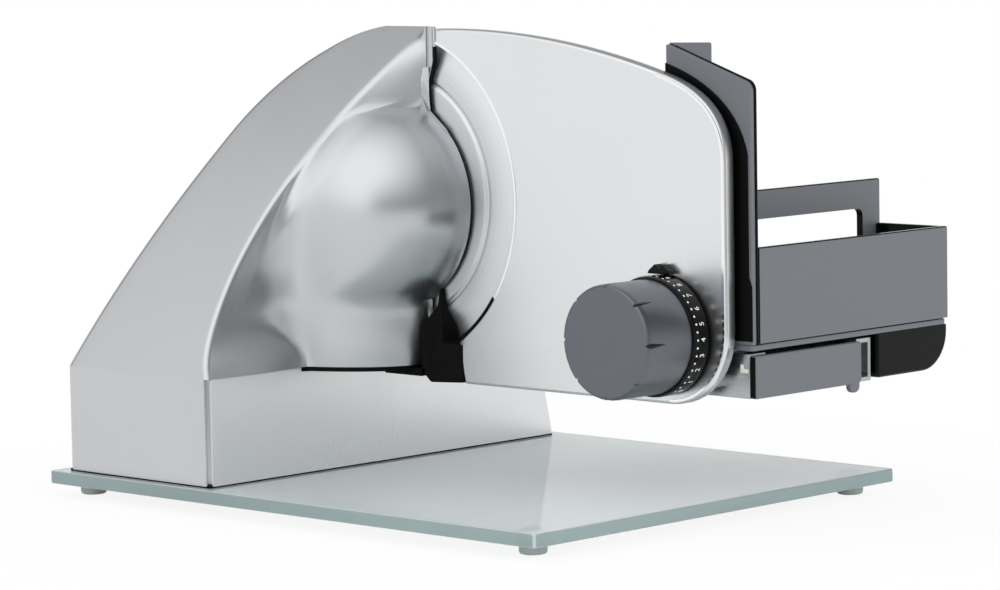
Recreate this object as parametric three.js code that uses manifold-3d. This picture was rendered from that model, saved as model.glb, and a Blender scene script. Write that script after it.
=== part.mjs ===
// Compact electric food slicer on a glass base: millimetres, +Z up, +X along the stop plate,
// +Y from the slice side to the food side. The origin is on the table, under the middle of the object.
import * as THREE from 'three';
import { NURBSCurve } from 'three/addons/curves/NURBSCurve.js';
import { mergeVertices } from 'three/addons/utils/BufferGeometryUtils.js';
import Module from 'manifold-3d';

const wasm = await Module();
wasm.setup();

// Fits
const FIT = 0.3; // gap between fixed pieces that seat in each other
const RUN = 0.5; // running gap of moving pieces
const CUT = 1; // how far a cut runs past the solid that it cuts
const WALL = 2.5; // housing casting
const ROUND = 40; // facets of a large round piece

// Base
const GLASS_LENGTH = 360;
const GLASS_DEPTH = 278;
const GLASS_THICKNESS = 7;
const GLASS_CORNER = 3;
const FOOT_HEIGHT = 6;
const FOOT_RADIUS = 7;
const FOOT_INSET = 17;
const FOOT_STUD_RADIUS = 3;
const FOOT_STUD_COVER = 2; // glass left above a foot's stud

// Blade
const BLADE_RADIUS = 85;
const BLADE_BEVEL_RADIUS = 65;
const BLADE_THICKNESS = 1.5;
const BLADE_EDGE = 0.2;
const BLADE_SET_BACK = 0.7; // blade behind the food-side face
const BLADE_OVER_BOX = 4; // blade edge above the box top
const BLADE_GAP = 3.5; // blade edge to the shroud
const BLADE_RELIEF = 1.5; // least gap of the blade under the roof ridge
const BLADE_BORE_RADIUS = 5.5;
const BLADE_SCREW_CIRCLE = 13;
const BLADE_SCREW_RADIUS = 2;
const BLADE_FACETS = 64;
const HUB_RADIUS = 21;
const HUB_THICKNESS = 1;

// Housing: distances from the blade axis in X, and from the plane Y = 0 in Y
const FOOD_FACE = 4; // food-side face of the stop plate and of the housing
const HOUSING_WIDTH = 113;
const HOUSING_FRONT = 120;
const HOUSING_REAR_LEAN = 0.222; // lean of the rear wall for each millimetre of its rise
const PANEL_OFFSET = 23; // drive side panel, left of the blade axis
const BOX_HEIGHT = 57;
const DECK_DROP = 4; // rear deck below the box top
const GLASS_MARGIN_LEFT = 10;
const GLASS_MARGIN_FRONT = 6;
const GLASS_MARGIN_REAR = 10;
const FLOOR_SHEET = 2;

// Roof and its inner edge, the ridge
const ROOF_BULGE = 12; // crown of the roof over a straight slope
const ROOF_TIP = 0.6; // thin end of the roof that is left off
const ROOF_TIP_DEPTH = 0.4;
const ROOF_TIP_WIDTH = 4;
const ROOF_LEVELS = 20;
const RIDGE_STEPS = 24;
const RIDGE_FOOT_INSET = 2; // ridge left of the drive side panel at the box top
const RIDGE_LOW_INSET = 15; // pulls the ridge to the left on its way up
const RIDGE_LOW_RISE = 50;
const RIDGE_HIGH_INSET = 9;
const RIDGE_HIGH_DROP = 70;
const RIDGE_TOP_INSET = 6; // top end of the ridge, left of the flange

// Gear dome
const DOME_RIM_RADIUS = 57;
const DOME_DEPTH = 56;
const DOME_FOOT_DEPTH = 47;
const DOME_FLAT_START = 38; // above the blade axis, where the dome starts to flatten
const DOME_FLAT_END = 58;
const DOME_COVE = 4; // valley between the wall under the ridge and the dome, right of the ridge
const DOME_SHARES = [0.12, 0.3, 0.5, 0.7, 0.86, 0.96]; // places of the dome's curve between valley and rim
const DOME_STEPS = 16;
const FLANGE_X = 30; // right edge of the housing above the dome
const FLANGE_STEP = 4; // its edge below the dome is set back
const BULKHEAD_THICKNESS = 2;
const BULKHEAD_GAP = 0.8;
const BULKHEAD_DROP = 22; // bulkhead's top below the roof ridge
const BLADE_RECESS = 7; // blade bulkhead behind the food-side face

// Drive
const MOTOR_RADIUS = 27;
const MOTOR_LENGTH = 58;
const MOTOR_CAP = 6;
const MOTOR_SHELL = 2;
const MOTOR_LEFT = 94; // left end of the motor, left of the blade axis
const ROTOR_RADIUS = 21;
const ROTOR_SHAFT_RADIUS = 4;
const ROTOR_END_GAP = 4;
const WORM_RADIUS = 6.5;
const WORM_LENGTH = 20;
const WHEEL_RADIUS = 30;
const WHEEL_WIDTH = 10;
const WHEEL_TEETH = 30;
const WHEEL_TOOTH = 2;
const WHEEL_SET_BACK = 34; // middle of the worm wheel in front of the plane Y = 0
const SHAFT_RADIUS = 5;
const SHAFT_FLANGE_RADIUS = 20;
const SHAFT_FLANGE_WIDTH = 3;
const BUSH_WALL = 4;
const BUSH_PROUD = 4; // rear bush in front of the bulkhead
const BRACKET_THICKNESS = 4;
const BRACKET_HEIGHT = 24;
const BRACKET_POST = 12;
const BRACKET_GAP = 3;
const CRADLE_LENGTH = 30;
const CRADLE_HALF_WIDTH = 21.6;
const CRADLE_DROP = 13.5; // top of the cradle below the motor axis

// Stop plate
const PLATE_THICKNESS = 7;
const PLATE_SET_BACK = 8.5; // right edge left of the carriage's right side
const PLATE_DROP = 8.5; // lower edge below the box top
const PLATE_CORNER = 38;
const PLATE_GAP = 2; // blade edge to the arc of the stop plate
const PLATE_ARC_RISE = 14; // lower end of the arc above the box top
const PLATE_FOOT_STEP = 5; // lower left corner right of the arc's lower end
const PLATE_FLANGE_GAP = 1.5;
const PLATE_SIDE_DROP = 65; // where the right side starts to curve, below the roof ridge
const PLATE_PULL_DROP = 33;
const PLATE_SHOULDER_INSET = 44; // shoulder of the upper edge
const PLATE_SHOULDER_DROP = 21.5;
const PLATE_TOP_DROP = 1.6;

// Guard wedge at the lower end of the blade opening
const WEDGE_DEPTH = 9;
const WEDGE_BLADE_GAP = 1;
const WEDGE_PLATE_GAP = 1.5;
const WEDGE_DROP = 1; // lower face below the stop plate
const WEDGE_CHAMFER = 5;
const WEDGE_SIDE_RISE = 22; // heights above the box top
const WEDGE_TIP_RISE = 41;
const WEDGE_NECK_RISE = 30;
const WEDGE_NECK_INSET = 5.5; // distances from the wedge's left side
const WEDGE_TIP_INSET = 7;
const WEDGE_TIP_WIDTH = 4;
const WEDGE_SHOULDER_INSET = 15;
const WEDGE_SHOULDER_RISE = 24;

// Guides of the stop plate and the thickness knob
const ROD_RADIUS = 4;
const ROD_LENGTH = 72;
const ROD_SPACING = 66;
const ROD_OFFSET = 26; // right rod, right of the knob axis
const ROD_RISE = 9; // rods above the rear deck
const GUIDE_END = 12;
const GUIDE_FOOT_GAP = 1;
const KNOB_INSET = 40.5; // knob axis left of the stop plate's right edge
const KNOB_HEIGHT = 35; // knob axis above the lower edge of the stop plate
const KNOB_RADIUS = 29;
const KNOB_LENGTH = 45; // knob front in front of the stop plate
const KNOB_GAP = 1.5; // knob's back in front of the stop plate
const KNOB_WALL = 4;
const KNOB_SLEEVE_WALL = 2.5;
const KNOB_SLEEVE_STEP = 2;
const KNOB_EDGE = 2;
const KNOB_BOSS_WALL = 3.5;
const KNOB_NOTCHES = 8;
const NOTCH_HALF_WIDTH = 4;
const NOTCH_DEPTH = 2.4;
const NOTCH_LENGTH = 13;
const SCALE_RADIUS = 32;
const SCALE_WIDTH = 11.5;
const INDEX_HALF_WIDTH = 7;
const INDEX_HEIGHT = 4.6;
const INDEX_DEPTH = 5;
const AXLE_RADIUS = 5;
const FOLLOWER_RADIUS = 2;
const FOLLOWER_OFFSET = 21; // follower bar below the knob axis
const FOLLOWER_REACH = 33; // follower bar in front of the stop plate

// Carriage way
const RAIL_MARGIN = 8; // rails' left end, right of the housing's left side
const RAIL_FRONT = 9;
const RAIL_REAR = 105;
const RAIL_HEIGHT = 22.5;
const RAIL_WIDTH = 12;
const RAIL_SHEET = 2.5;
const END_CAP = 3.6;
const END_CAP_DROP = 1; // end cap's top below the top of the rails
const SCREW_RADIUS = 2.4;
const SCREW_HEAD_RADIUS = 4.2;
const SCREW_HEAD = 3;
const SCREW_LENGTH = 8;
const SCREW_END = 20; // screws from the rails' left end and from the drive side panel

// Carriage
const CARRIAGE_RIGHT = 239.5;
const CARRIAGE_LEFT = 70;
const CARRIAGE_FRONT = 7.5;
const CARRIAGE_DEPTH = 158.5;
const GLIDE_HEIGHT = 1.5;
const GLIDE_LENGTH = 24;
const GLIDE_EDGE = 1;
const GLIDE_LEFT_INSET = 6;
const GLIDE_RIGHT_INSET = 16;
const PAN_THICKNESS = 3;
const LINER_SHEET = 0.8;
const LINER_REAR_GAP = 2;
const LINER_LIP = 10; // upturned edge of the liner at the pusher wall
const WALL_THICKNESS = 4;
const TRAY_HEIGHT = 48.5;
const POCKET_WIDTH = 41;
const PUSHER_HEIGHT = 72;
const PUSHER_GAP = 1;
const WINDOW_FRONT = 8;
const WINDOW_REAR = 15;
const WINDOW_SILL = 12;
const WINDOW_HEAD = 15;
const GUARD_THICKNESS = 4.6;
const GUARD_WIDTH = 56;
const GUARD_HEIGHT = 149.5;
const GUARD_DROP = 19; // fall of the guard's top edge to its right side
const GUARD_CORNER = 6;
const GUARD_CORNER_RISE = 3;
const FIN_DEPTH = 27;
const FIN_DROP = 1; // fall of the fin's top edge to its rear
const SKIRT_LENGTH = 93;
const SKIRT_DROP = 23;
const SKIRT_CORNER = 20;
const SKIRT_GAP = 2; // skirt behind the rear rail
const SKIRT_INSET = 1;

// Switch and cord gland in the left side
const SWITCH_INSET = 40; // behind the housing's front
const SWITCH_RISE = 32; // above the glass
const SWITCH_RADIUS = 9;
const SWITCH_REACH = 4;
const SWITCH_TAIL = 2;
const SWITCH_TRAVEL = 2.5;
const SWITCH_BODY_LENGTH = 18;
const SWITCH_BODY_HALF = 12;
const GLAND_INSET = 40; // in front of the housing's rear
const GLAND_RISE = 18;
const GLAND_RADIUS = 6;
const GLAND_WALL = 2.5;
const GLAND_REACH = 5;
const GLAND_TAIL = 3;

// Places worked out from the sizes above
const glassTop = FOOT_HEIGHT + GLASS_THICKNESS;
const floorTop = glassTop + FLOOR_SHEET;
const boxTop = glassTop + BOX_HEIGHT;
const deckTop = boxTop - DECK_DROP;
const axisZ = boxTop + BLADE_OVER_BOX + BLADE_RADIUS;
const panelX = -PANEL_OFFSET;
const leftX = panelX - HOUSING_WIDTH;
const frontY = -HOUSING_FRONT;
const glassLeft = leftX - GLASS_MARGIN_LEFT;
const glassFront = frontY - GLASS_MARGIN_FRONT;
const rearY = glassFront + GLASS_DEPTH - GLASS_MARGIN_REAR;
const foodFaceY = FOOD_FACE;
const bulkheadY = foodFaceY - BLADE_RECESS;
const shroudRadius = BLADE_RADIUS + BLADE_GAP + WALL;
const topZ = axisZ + shroudRadius;
const towerTop = topZ - ROOF_TIP;
const edgeY = foodFaceY - BLADE_SET_BACK; // food-side face of the blade
const bladeY = edgeY - BLADE_THICKNESS;
const wheelY = -WHEEL_SET_BACK;
const wormZ = axisZ - WHEEL_RADIUS - RUN - WORM_RADIUS;
const plateFront = foodFaceY - PLATE_THICKNESS;
const plateBottom = boxTop - PLATE_DROP;
const plateRight = CARRIAGE_RIGHT - PLATE_SET_BACK;
const knobX = plateRight - KNOB_INSET;
const knobZ = plateBottom + KNOB_HEIGHT;
const railStart = leftX + RAIL_MARGIN;
const railEnd = CARRIAGE_RIGHT - END_CAP;
const railTop = deckTop + RAIL_HEIGHT;
const panBottom = railTop + GLIDE_HEIGHT;
const panTop = panBottom + PAN_THICKNESS;
const carriageRear = CARRIAGE_FRONT + CARRIAGE_DEPTH;
const switchY = frontY + SWITCH_INSET;
const switchZ = glassTop + SWITCH_RISE;
const glandY = rearY - GLAND_INSET;
const glandZ = glassTop + GLAND_RISE;

// Materials
const paint = (color, roughness, metalness) =>
  new THREE.MeshStandardMaterial({ color, roughness, metalness });
const silver = () => paint(0xc6c8ca, 0.42, 0.85);
const darkPlastic = () => paint(0x3a3c40, 0.5, 0);
const blackPlastic = () => paint(0x0c0e12, 0.35, 0);
const steel = () => paint(0xb8bcc0, 0.3, 1);
const brass = () => paint(0xb08d4a, 0.4, 1);

// Solids
function toSolid(geometry) {
  const plain = geometry.index ? geometry.toNonIndexed() : geometry.clone();
  plain.deleteAttribute('normal');
  plain.deleteAttribute('uv');
  const merged = mergeVertices(plain, 1e-4);
  const index = merged.index.array;
  const triangles = [];
  for (let i = 0; i < index.length; i += 3) {
    const [a, b, c] = [index[i], index[i + 1], index[i + 2]];
    if (a !== b && b !== c && c !== a) triangles.push(a, b, c);
  }
  const make = (triVerts) => new wasm.Manifold(new wasm.Mesh({
    numProp: 3,
    vertProperties: Float32Array.from(merged.attributes.position.array),
    triVerts: Uint32Array.from(triVerts),
  }));
  const solid = make(triangles);
  return solid.volume() < 0 ? make(triangles.reverse()) : solid;
}

function toGeometry(solid) {
  const mesh = solid.getMesh();
  const points = new Float32Array((mesh.vertProperties.length / mesh.numProp) * 3);
  for (let i = 0; i < points.length / 3; i++) {
    for (let k = 0; k < 3; k++) points[i * 3 + k] = mesh.vertProperties[i * mesh.numProp + k];
  }
  const geometry = new THREE.BufferGeometry();
  geometry.setAttribute('position', new THREE.BufferAttribute(points, 3));
  geometry.setIndex(new THREE.BufferAttribute(Uint32Array.from(mesh.triVerts), 1));
  geometry.computeVertexNormals();
  return geometry;
}

const moved = (geometry, x, y, z) => toSolid(geometry.translate(x, y, z));

// Box between two corners
function block(x0, x1, y0, y1, z0, z1) {
  const box = new THREE.BoxGeometry(x1 - x0, y1 - y0, z1 - z0);
  return moved(box, (x0 + x1) / 2, (y0 + y1) / 2, (z0 + z1) / 2);
}

// Round bar along one axis, from its first to its last end
function bar(axis, from, to, a, b, radius, sides = 24) {
  const geometry = new THREE.CylinderGeometry(radius, radius, to - from, sides);
  const middle = (from + to) / 2;
  if (axis === 'x') return moved(geometry.rotateZ(-Math.PI / 2), middle, a, b);
  if (axis === 'y') return moved(geometry, a, middle, b);
  return moved(geometry.rotateX(Math.PI / 2), a, b, middle);
}

const shapeOf = (points) => new THREE.Shape(points.map(([u, v]) => new THREE.Vector2(u, v)));
const extruded = (shape, depth, curveSegments = 12) =>
  new THREE.ExtrudeGeometry(shape, { depth, bevelEnabled: false, curveSegments });

// Outline in X and Z, swept from y0 to y1
function alongY(shape, y0, y1, curveSegments) {
  return moved(extruded(shape, y1 - y0, curveSegments).rotateX(Math.PI / 2), 0, y1, 0);
}

// Outline in Y and Z, swept from x0 to x1
function alongX(shape, x0, x1, curveSegments) {
  const turn = new THREE.Matrix4().makeBasis(
    new THREE.Vector3(0, 1, 0), new THREE.Vector3(0, 0, 1), new THREE.Vector3(1, 0, 0));
  return moved(extruded(shape, x1 - x0, curveSegments).applyMatrix4(turn), x0, 0, 0);
}

// Outline in X and Y, swept from z0 to z1
function alongZ(shape, z0, z1, curveSegments) {
  return moved(extruded(shape, z1 - z0, curveSegments), 0, 0, z0);
}

// Turned piece on an axis along Y: profile points are radius and Y
function turned(profile, x, z, sides = ROUND) {
  const points = profile.map(([r, y]) => new THREE.Vector2(r, y));
  return moved(new THREE.LatheGeometry(points, sides), x, 0, z);
}

// Turned piece on an axis along X: profile points are radius and X
function turnedX(profile, y, z, sides = ROUND) {
  const points = profile.map(([r, x]) => new THREE.Vector2(r, x));
  return moved(new THREE.LatheGeometry(points, sides).rotateZ(-Math.PI / 2), 0, y, z);
}

// Solid through a stack of like outlines, each a list of points at one height
function loft(sections) {
  const count = sections[0].length;
  const points = sections.flat();
  const index = [];
  for (let level = 0; level < sections.length - 1; level++) {
    for (let i = 0; i < count; i++) {
      const a = level * count + i;
      const b = level * count + ((i + 1) % count);
      index.push(a, b, a + count, b, b + count, a + count);
    }
  }
  for (const level of [0, sections.length - 1]) {
    const flat = sections[level].map((p) => new THREE.Vector2(p.x, p.y));
    for (const [a, b, c] of THREE.ShapeUtils.triangulateShape(flat, [])) {
      const base = level * count;
      index.push(...(level === 0 ? [base + a, base + c, base + b] : [base + a, base + b, base + c]));
    }
  }
  const geometry = new THREE.BufferGeometry().setFromPoints(points);
  geometry.setIndex(index);
  return toSolid(geometry);
}

// Smooth curve that is pulled by its control points and meets the first and last of them
function smoothCurve(controls, steps) {
  const degree = 3;
  const spans = controls.length - degree;
  const knots = Array.from({ length: controls.length + degree + 1 },
    (_, i) => THREE.MathUtils.clamp(i - degree, 0, spans));
  const curve = new NURBSCurve(degree, knots, controls.map(([x, y]) => new THREE.Vector4(x, y, 0, 1)));
  return curve.getPoints(steps).map((p) => [p.x, p.y]);
}

const root = new THREE.Group();
function add(name, solid, material) {
  const mesh = new THREE.Mesh(toGeometry(solid), material);
  mesh.name = name;
  root.add(mesh);
}

// Glass base and its feet
const glassRight = glassLeft + GLASS_LENGTH;
const glassRear = glassFront + GLASS_DEPTH;
const glass = new THREE.Shape();
{
  const r = GLASS_CORNER;
  const quarter = Math.PI / 2;
  glass.moveTo(glassLeft + r, glassFront);
  glass.lineTo(glassRight - r, glassFront).absarc(glassRight - r, glassFront + r, r, -quarter, 0);
  glass.lineTo(glassRight, glassRear - r).absarc(glassRight - r, glassRear - r, r, 0, quarter);
  glass.lineTo(glassLeft + r, glassRear).absarc(glassLeft + r, glassRear - r, r, quarter, 2 * quarter);
  glass.lineTo(glassLeft, glassFront + r).absarc(glassLeft + r, glassFront + r, r, 2 * quarter, 3 * quarter);
}
const feet = [
  ['foot_front_left', glassLeft + FOOT_INSET, glassFront + FOOT_INSET],
  ['foot_front_right', glassRight - FOOT_INSET, glassFront + FOOT_INSET],
  ['foot_rear_right', glassRight - FOOT_INSET, glassRear - FOOT_INSET],
  ['foot_rear_left', glassLeft + FOOT_INSET, glassRear - FOOT_INSET],
];
const studTop = glassTop - FOOT_STUD_COVER;
let base = alongZ(glass, FOOT_HEIGHT, glassTop, 6);
for (const [name, x, y] of feet) {
  base = base.subtract(bar('z', FOOT_HEIGHT - CUT, studTop + FIT, x, y, FOOT_STUD_RADIUS + FIT));
  const pad = bar('z', 0, FOOT_HEIGHT, x, y, FOOT_RADIUS);
  add(name, pad.add(bar('z', FOOT_HEIGHT / 2, studTop, x, y, FOOT_STUD_RADIUS)), paint(0x9aa3a3, 0.7, 0));
}
add('glass_base_plate', base, paint(0xb7c0c2, 0.08, 0));

// Housing outlines. The left side is a straight flank that runs tangent into the blade shroud.
function tangentPoint(inset) {
  const radius = shroudRadius - inset;
  const [dx, dz] = [leftX + inset, boxTop - axisZ];
  const reach = Math.hypot(dx, dz);
  const angle = Math.atan2(dz, dx) - Math.acos(radius / reach);
  return { x: radius * Math.cos(angle), z: axisZ + radius * Math.sin(angle) };
}

function flankX(z, inset) {
  const touch = tangentPoint(inset);
  if (z < touch.z) {
    const share = (z - boxTop) / (touch.z - boxTop);
    return leftX + inset + share * (touch.x - leftX - inset);
  }
  const radius = shroudRadius - inset;
  return -Math.sqrt(Math.max(radius ** 2 - (z - axisZ) ** 2, 0));
}

// Front of the roof at a height: a crowned slope from the box front up to the food-side face
function roofY(z) {
  const share = (z - boxTop) / (topZ - boxTop);
  return frontY + share * (foodFaceY - frontY) - 4 * ROOF_BULGE * share * (1 - share);
}

// Ridge: the inner edge of the roof, where it turns into the dome
const ridge = new THREE.CubicBezierCurve(
  new THREE.Vector2(panelX - RIDGE_FOOT_INSET, boxTop),
  new THREE.Vector2(panelX - RIDGE_LOW_INSET, boxTop + RIDGE_LOW_RISE),
  new THREE.Vector2(panelX - RIDGE_HIGH_INSET, topZ - RIDGE_HIGH_DROP),
  new THREE.Vector2(FLANGE_X - RIDGE_TOP_INSET, topZ));
const ridgePoints = ridge.getPoints(60);
function ridgeX(z) {
  const next = ridgePoints.findIndex((p) => p.y >= z);
  const k = next < 0 ? ridgePoints.length - 1 : Math.max(next, 1);
  const [a, b] = [ridgePoints[k - 1], ridgePoints[k]];
  return a.x + ((z - a.y) / (b.y - a.y)) * (b.x - a.x);
}

// Right edge of the dome in the blade plane
function rimX(z, inset) {
  const drop = Math.abs(z - axisZ);
  const radius = DOME_RIM_RADIUS - inset;
  const round = drop < radius ? Math.sqrt(radius ** 2 - drop ** 2) : 0;
  const straight = (z > axisZ ? FLANGE_X : FLANGE_X - FLANGE_STEP) - inset;
  return Math.max(round, straight);
}

// Front of the dome at a place: half a ball round the blade axis, stretched down to the box
function domeY(x, z, level, inset) {
  const { clamp, lerp } = THREE.MathUtils;
  const share = clamp((level - boxTop) / (axisZ - boxTop), 0, 1);
  const depth = lerp(DOME_FOOT_DEPTH, DOME_DEPTH, Math.sin((share * Math.PI) / 2)) - inset;
  const radius = DOME_RIM_RADIUS - inset;
  const lift = Math.max(z - axisZ, 0) / radius;
  const shrink = Math.sqrt(Math.max(1 - lift ** 2, 0));
  const reach = x < 0 || z > axisZ ? radius * shrink : rimX(z, inset);
  if (reach <= Math.abs(x)) return bulkheadY;
  return bulkheadY - depth * shrink * Math.sqrt(1 - (x / reach) ** 2);
}

// Dome's curve at one level: from the ridge along the wall into a valley, over the dome to its rim.
// Towards the top it flattens into one facet.
function domeCurve(z, level, inset, ridgeAt, front, rear) {
  const { clamp, lerp, smoothstep } = THREE.MathUtils;
  const rim = rimX(z, inset);
  const rimY = clamp(bulkheadY, front, rear);
  const flat = smoothstep(z, axisZ + DOME_FLAT_START, axisZ + DOME_FLAT_END);
  const over = (x) => [x, Math.min(domeY(x, z, level, inset), rimY)];
  const valleyX = ridgeAt + DOME_COVE;
  const valleyY = Math.max(over(valleyX)[1], front);
  const dome = [
    [ridgeAt, front], [ridgeAt + DOME_COVE / 2, (front + valleyY) / 2], [valleyX, valleyY],
    ...DOME_SHARES.map((share) => over(lerp(valleyX, rim, share))), [rim, rimY],
  ];
  const controls = dome.map(([x, y], i) => {
    const along = i / (dome.length - 1);
    return [lerp(x, lerp(ridgeAt, rim, along), flat), lerp(y, lerp(front, rimY, along), flat)];
  });
  return smoothCurve(controls, DOME_STEPS);
}

// One level of the tower: rear, flank, roof, then the dome's curve to its rim
function towerSection(z, inset, rear) {
  const level = Math.min(z + inset, towerTop);
  const front = Math.min(roofY(level) + inset, rear - ROOF_TIP_DEPTH);
  const left = flankX(level, inset);
  const ridgeAt = Math.max(ridgeX(level) - inset, left + ROOF_TIP_WIDTH);
  const curve = domeCurve(z, level, inset, ridgeAt, front, rear - ROOF_TIP_DEPTH / 2);
  const points = [[left, rear], [left, front], ...curve, [rimX(z, inset), rear]];
  return points.map(([x, y]) => new THREE.Vector3(x, y, z));
}

function tower(inset, bottom, top, rear) {
  const rise = (i) => Math.sin((i / ROOF_LEVELS) * Math.PI / 2);
  const heights = Array.from({ length: ROOF_LEVELS + 1 }, (_, i) => bottom + rise(i) * (top - bottom));
  return loft(heights.map((z) => towerSection(z, inset, rear)));
}

const rearAt = (z, inset) => rearY - inset - (z - glassTop) * HOUSING_REAR_LEAN;
function boxShape(inset, bottom) {
  return shapeOf([
    [frontY + inset, bottom], [rearAt(bottom, inset), bottom],
    [rearAt(deckTop - inset, inset), deckTop - inset], [foodFaceY - inset, deckTop - inset],
    [foodFaceY - inset, boxTop - inset], [frontY + inset, boxTop - inset],
  ]);
}

// Housing as one hollow casting, before it is parted into shell and dome
const openRear = foodFaceY + WALL;
const towerCavity = tower(WALL, boxTop + WALL, topZ - WALL, openRear);
const shaftWay = block(leftX + WALL, panelX - WALL, frontY + WALL, bulkheadY,
  boxTop - 2 * WALL, boxTop + WALL + CUT);
const boxCavity = alongX(boxShape(WALL, glassTop - CUT), leftX + WALL, panelX + CUT);
const casting = alongX(boxShape(0, glassTop), leftX, panelX)
  .add(tower(0, boxTop, towerTop, foodFaceY))
  .subtract(boxCavity)
  .subtract(towerCavity)
  .subtract(shaftWay);

// Dome side of the casting: right of the ridge and in front of the blade
const sideRight = DOME_RIM_RADIUS + FLANGE_X;
function domeSide(gap) {
  const foot = boxTop - gap;
  const edge = ridge.getPoints(RIDGE_STEPS).map((p) => [p.x - gap, Math.max(p.y, boxTop)]);
  edge[0][1] = foot;
  const top = topZ + CUT;
  const outline = [...edge, [edge[RIDGE_STEPS][0], top], [sideRight, top], [sideRight, foot]];
  return alongY(shapeOf(outline), frontY - CUT, foodFaceY + CUT);
}
const bladeSide = block(leftX - CUT, sideRight, bulkheadY, foodFaceY + CUT, boxTop - CUT, topZ + CUT);
const frontRow = RAIL_FRONT + (RAIL_WIDTH + RAIL_SHEET) / 2;
const rearRow = RAIL_REAR - (RAIL_WIDTH + RAIL_SHEET) / 2;
const screwPlaces = [
  [railStart + SCREW_END, frontRow], [panelX - SCREW_END, frontRow],
  [railStart + SCREW_END, rearRow], [panelX - SCREW_END, rearRow],
];
const bladeRoom = bar('y', bladeY - RUN, openRear, 0, axisZ, BLADE_RADIUS + BLADE_RELIEF, BLADE_FACETS);
const sideHole = (y, z, radius) => bar('x', leftX - CUT, leftX + WALL + CUT, y, z, radius);
let shell = casting.subtract(domeSide(FIT)).subtract(bladeRoom)
  .subtract(sideHole(switchY, switchZ, SWITCH_RADIUS + RUN))
  .subtract(sideHole(glandY, glandZ, GLAND_RADIUS + FIT));
for (const [x, y] of screwPlaces) {
  shell = shell.subtract(bar('z', deckTop - WALL - CUT, deckTop + CUT, x, y, SCREW_RADIUS + FIT));
}
add('housing_shell', shell, silver());
add('gear_dome', casting.intersect(domeSide(0)).subtract(bladeSide), silver());

// Lower wall on the drive side
add('drive_side_panel', alongX(boxShape(WALL + FIT, glassTop), panelX - WALL, panelX), silver());

// Bottom plate of the housing, on the glass
add('housing_bottom_plate', block(leftX + WALL + FIT, panelX - WALL - FIT, frontY + WALL + FIT,
  rearAt(floorTop, WALL + FIT), glassTop, floorTop), steel());

// Blade bulkhead, set into the back of the tower
const bushRadius = SHAFT_RADIUS + RUN + BUSH_WALL;
const bulkheadInset = WALL + BULKHEAD_GAP;
const bulkheadFill = tower(bulkheadInset, boxTop + bulkheadInset, topZ - bulkheadInset, openRear);
const bulkheadSlab = block(leftX, sideRight, bulkheadY - BULKHEAD_THICKNESS, bulkheadY,
  boxTop, topZ - BULKHEAD_DROP);
const bushSeat = bar('y', wheelY, foodFaceY, 0, axisZ, bushRadius + FIT);
add('blade_bulkhead', bulkheadFill.intersect(bulkheadSlab).subtract(bushSeat), steel());

// Motor, with its axis along X below the worm wheel
const motorX0 = -MOTOR_LEFT;
const motorX1 = motorX0 + MOTOR_LENGTH;
const capBore = ROTOR_SHAFT_RADIUS + RUN;
const canBore = MOTOR_RADIUS - MOTOR_SHELL;
const pipe = (inner, outer, from, to) =>
  [[inner, from], [outer, from], [outer, to], [inner, to], [inner, from]];
const can = turnedX(pipe(canBore, MOTOR_RADIUS, motorX0, motorX1), wheelY, wormZ);
add('motor_can', can, paint(0x6d7176, 0.45, 0.9));
for (const [name, x] of [['motor_cap_left', motorX0], ['motor_cap_right', motorX1 - MOTOR_CAP]]) {
  add(name, turnedX(pipe(capBore, canBore - FIT, x, x + MOTOR_CAP), wheelY, wormZ), blackPlastic());
}
const wormStart = -WORM_LENGTH / 2;
const coreStart = motorX0 + MOTOR_CAP + ROTOR_END_GAP;
const coreEnd = motorX1 - MOTOR_CAP - ROTOR_END_GAP;
add('rotor_and_worm', turnedX([
  [0, motorX0], [ROTOR_SHAFT_RADIUS, motorX0], [ROTOR_SHAFT_RADIUS, coreStart], [ROTOR_RADIUS, coreStart],
  [ROTOR_RADIUS, coreEnd], [ROTOR_SHAFT_RADIUS, coreEnd], [ROTOR_SHAFT_RADIUS, wormStart],
  [WORM_RADIUS, wormStart], [WORM_RADIUS, -wormStart], [0, -wormStart],
], wheelY, wormZ, 24), steel());
const cradleMiddle = (motorX0 + motorX1) / 2;
const cradle = block(cradleMiddle - CRADLE_LENGTH / 2, cradleMiddle + CRADLE_LENGTH / 2,
  wheelY - CRADLE_HALF_WIDTH, wheelY + CRADLE_HALF_WIDTH, floorTop, wormZ - CRADLE_DROP);
add('motor_cradle', cradle.subtract(bar('x', motorX0, motorX1, wheelY, wormZ, MOTOR_RADIUS + FIT, ROUND)),
  blackPlastic());

// Blade shaft with its flange, worm wheel, bushes and bearing bracket
const bracketY = wheelY - WHEEL_WIDTH / 2 - BRACKET_GAP - BRACKET_THICKNESS;
const flangeY = bladeY - SHAFT_FLANGE_WIDTH;
add('blade_shaft', turned([
  [0, bracketY], [SHAFT_RADIUS, bracketY], [SHAFT_RADIUS, flangeY], [SHAFT_FLANGE_RADIUS, flangeY],
  [SHAFT_FLANGE_RADIUS, bladeY], [SHAFT_RADIUS, bladeY], [SHAFT_RADIUS, edgeY], [0, edgeY],
], 0, axisZ, 32), steel());
const gear = new THREE.Shape();
const toothRoot = WHEEL_RADIUS - WHEEL_TOOTH;
const tooth = [[0, toothRoot], [0.3, WHEEL_RADIUS], [0.6, WHEEL_RADIUS], [0.9, toothRoot]];
for (let i = 0; i < WHEEL_TEETH; i++) {
  tooth.forEach(([share, radius], k) => {
    const angle = ((i + share) * 2 * Math.PI) / WHEEL_TEETH;
    const [x, z] = [radius * Math.cos(angle), axisZ + radius * Math.sin(angle)];
    if (i === 0 && k === 0) gear.moveTo(x, z);
    else gear.lineTo(x, z);
  });
}
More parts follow.
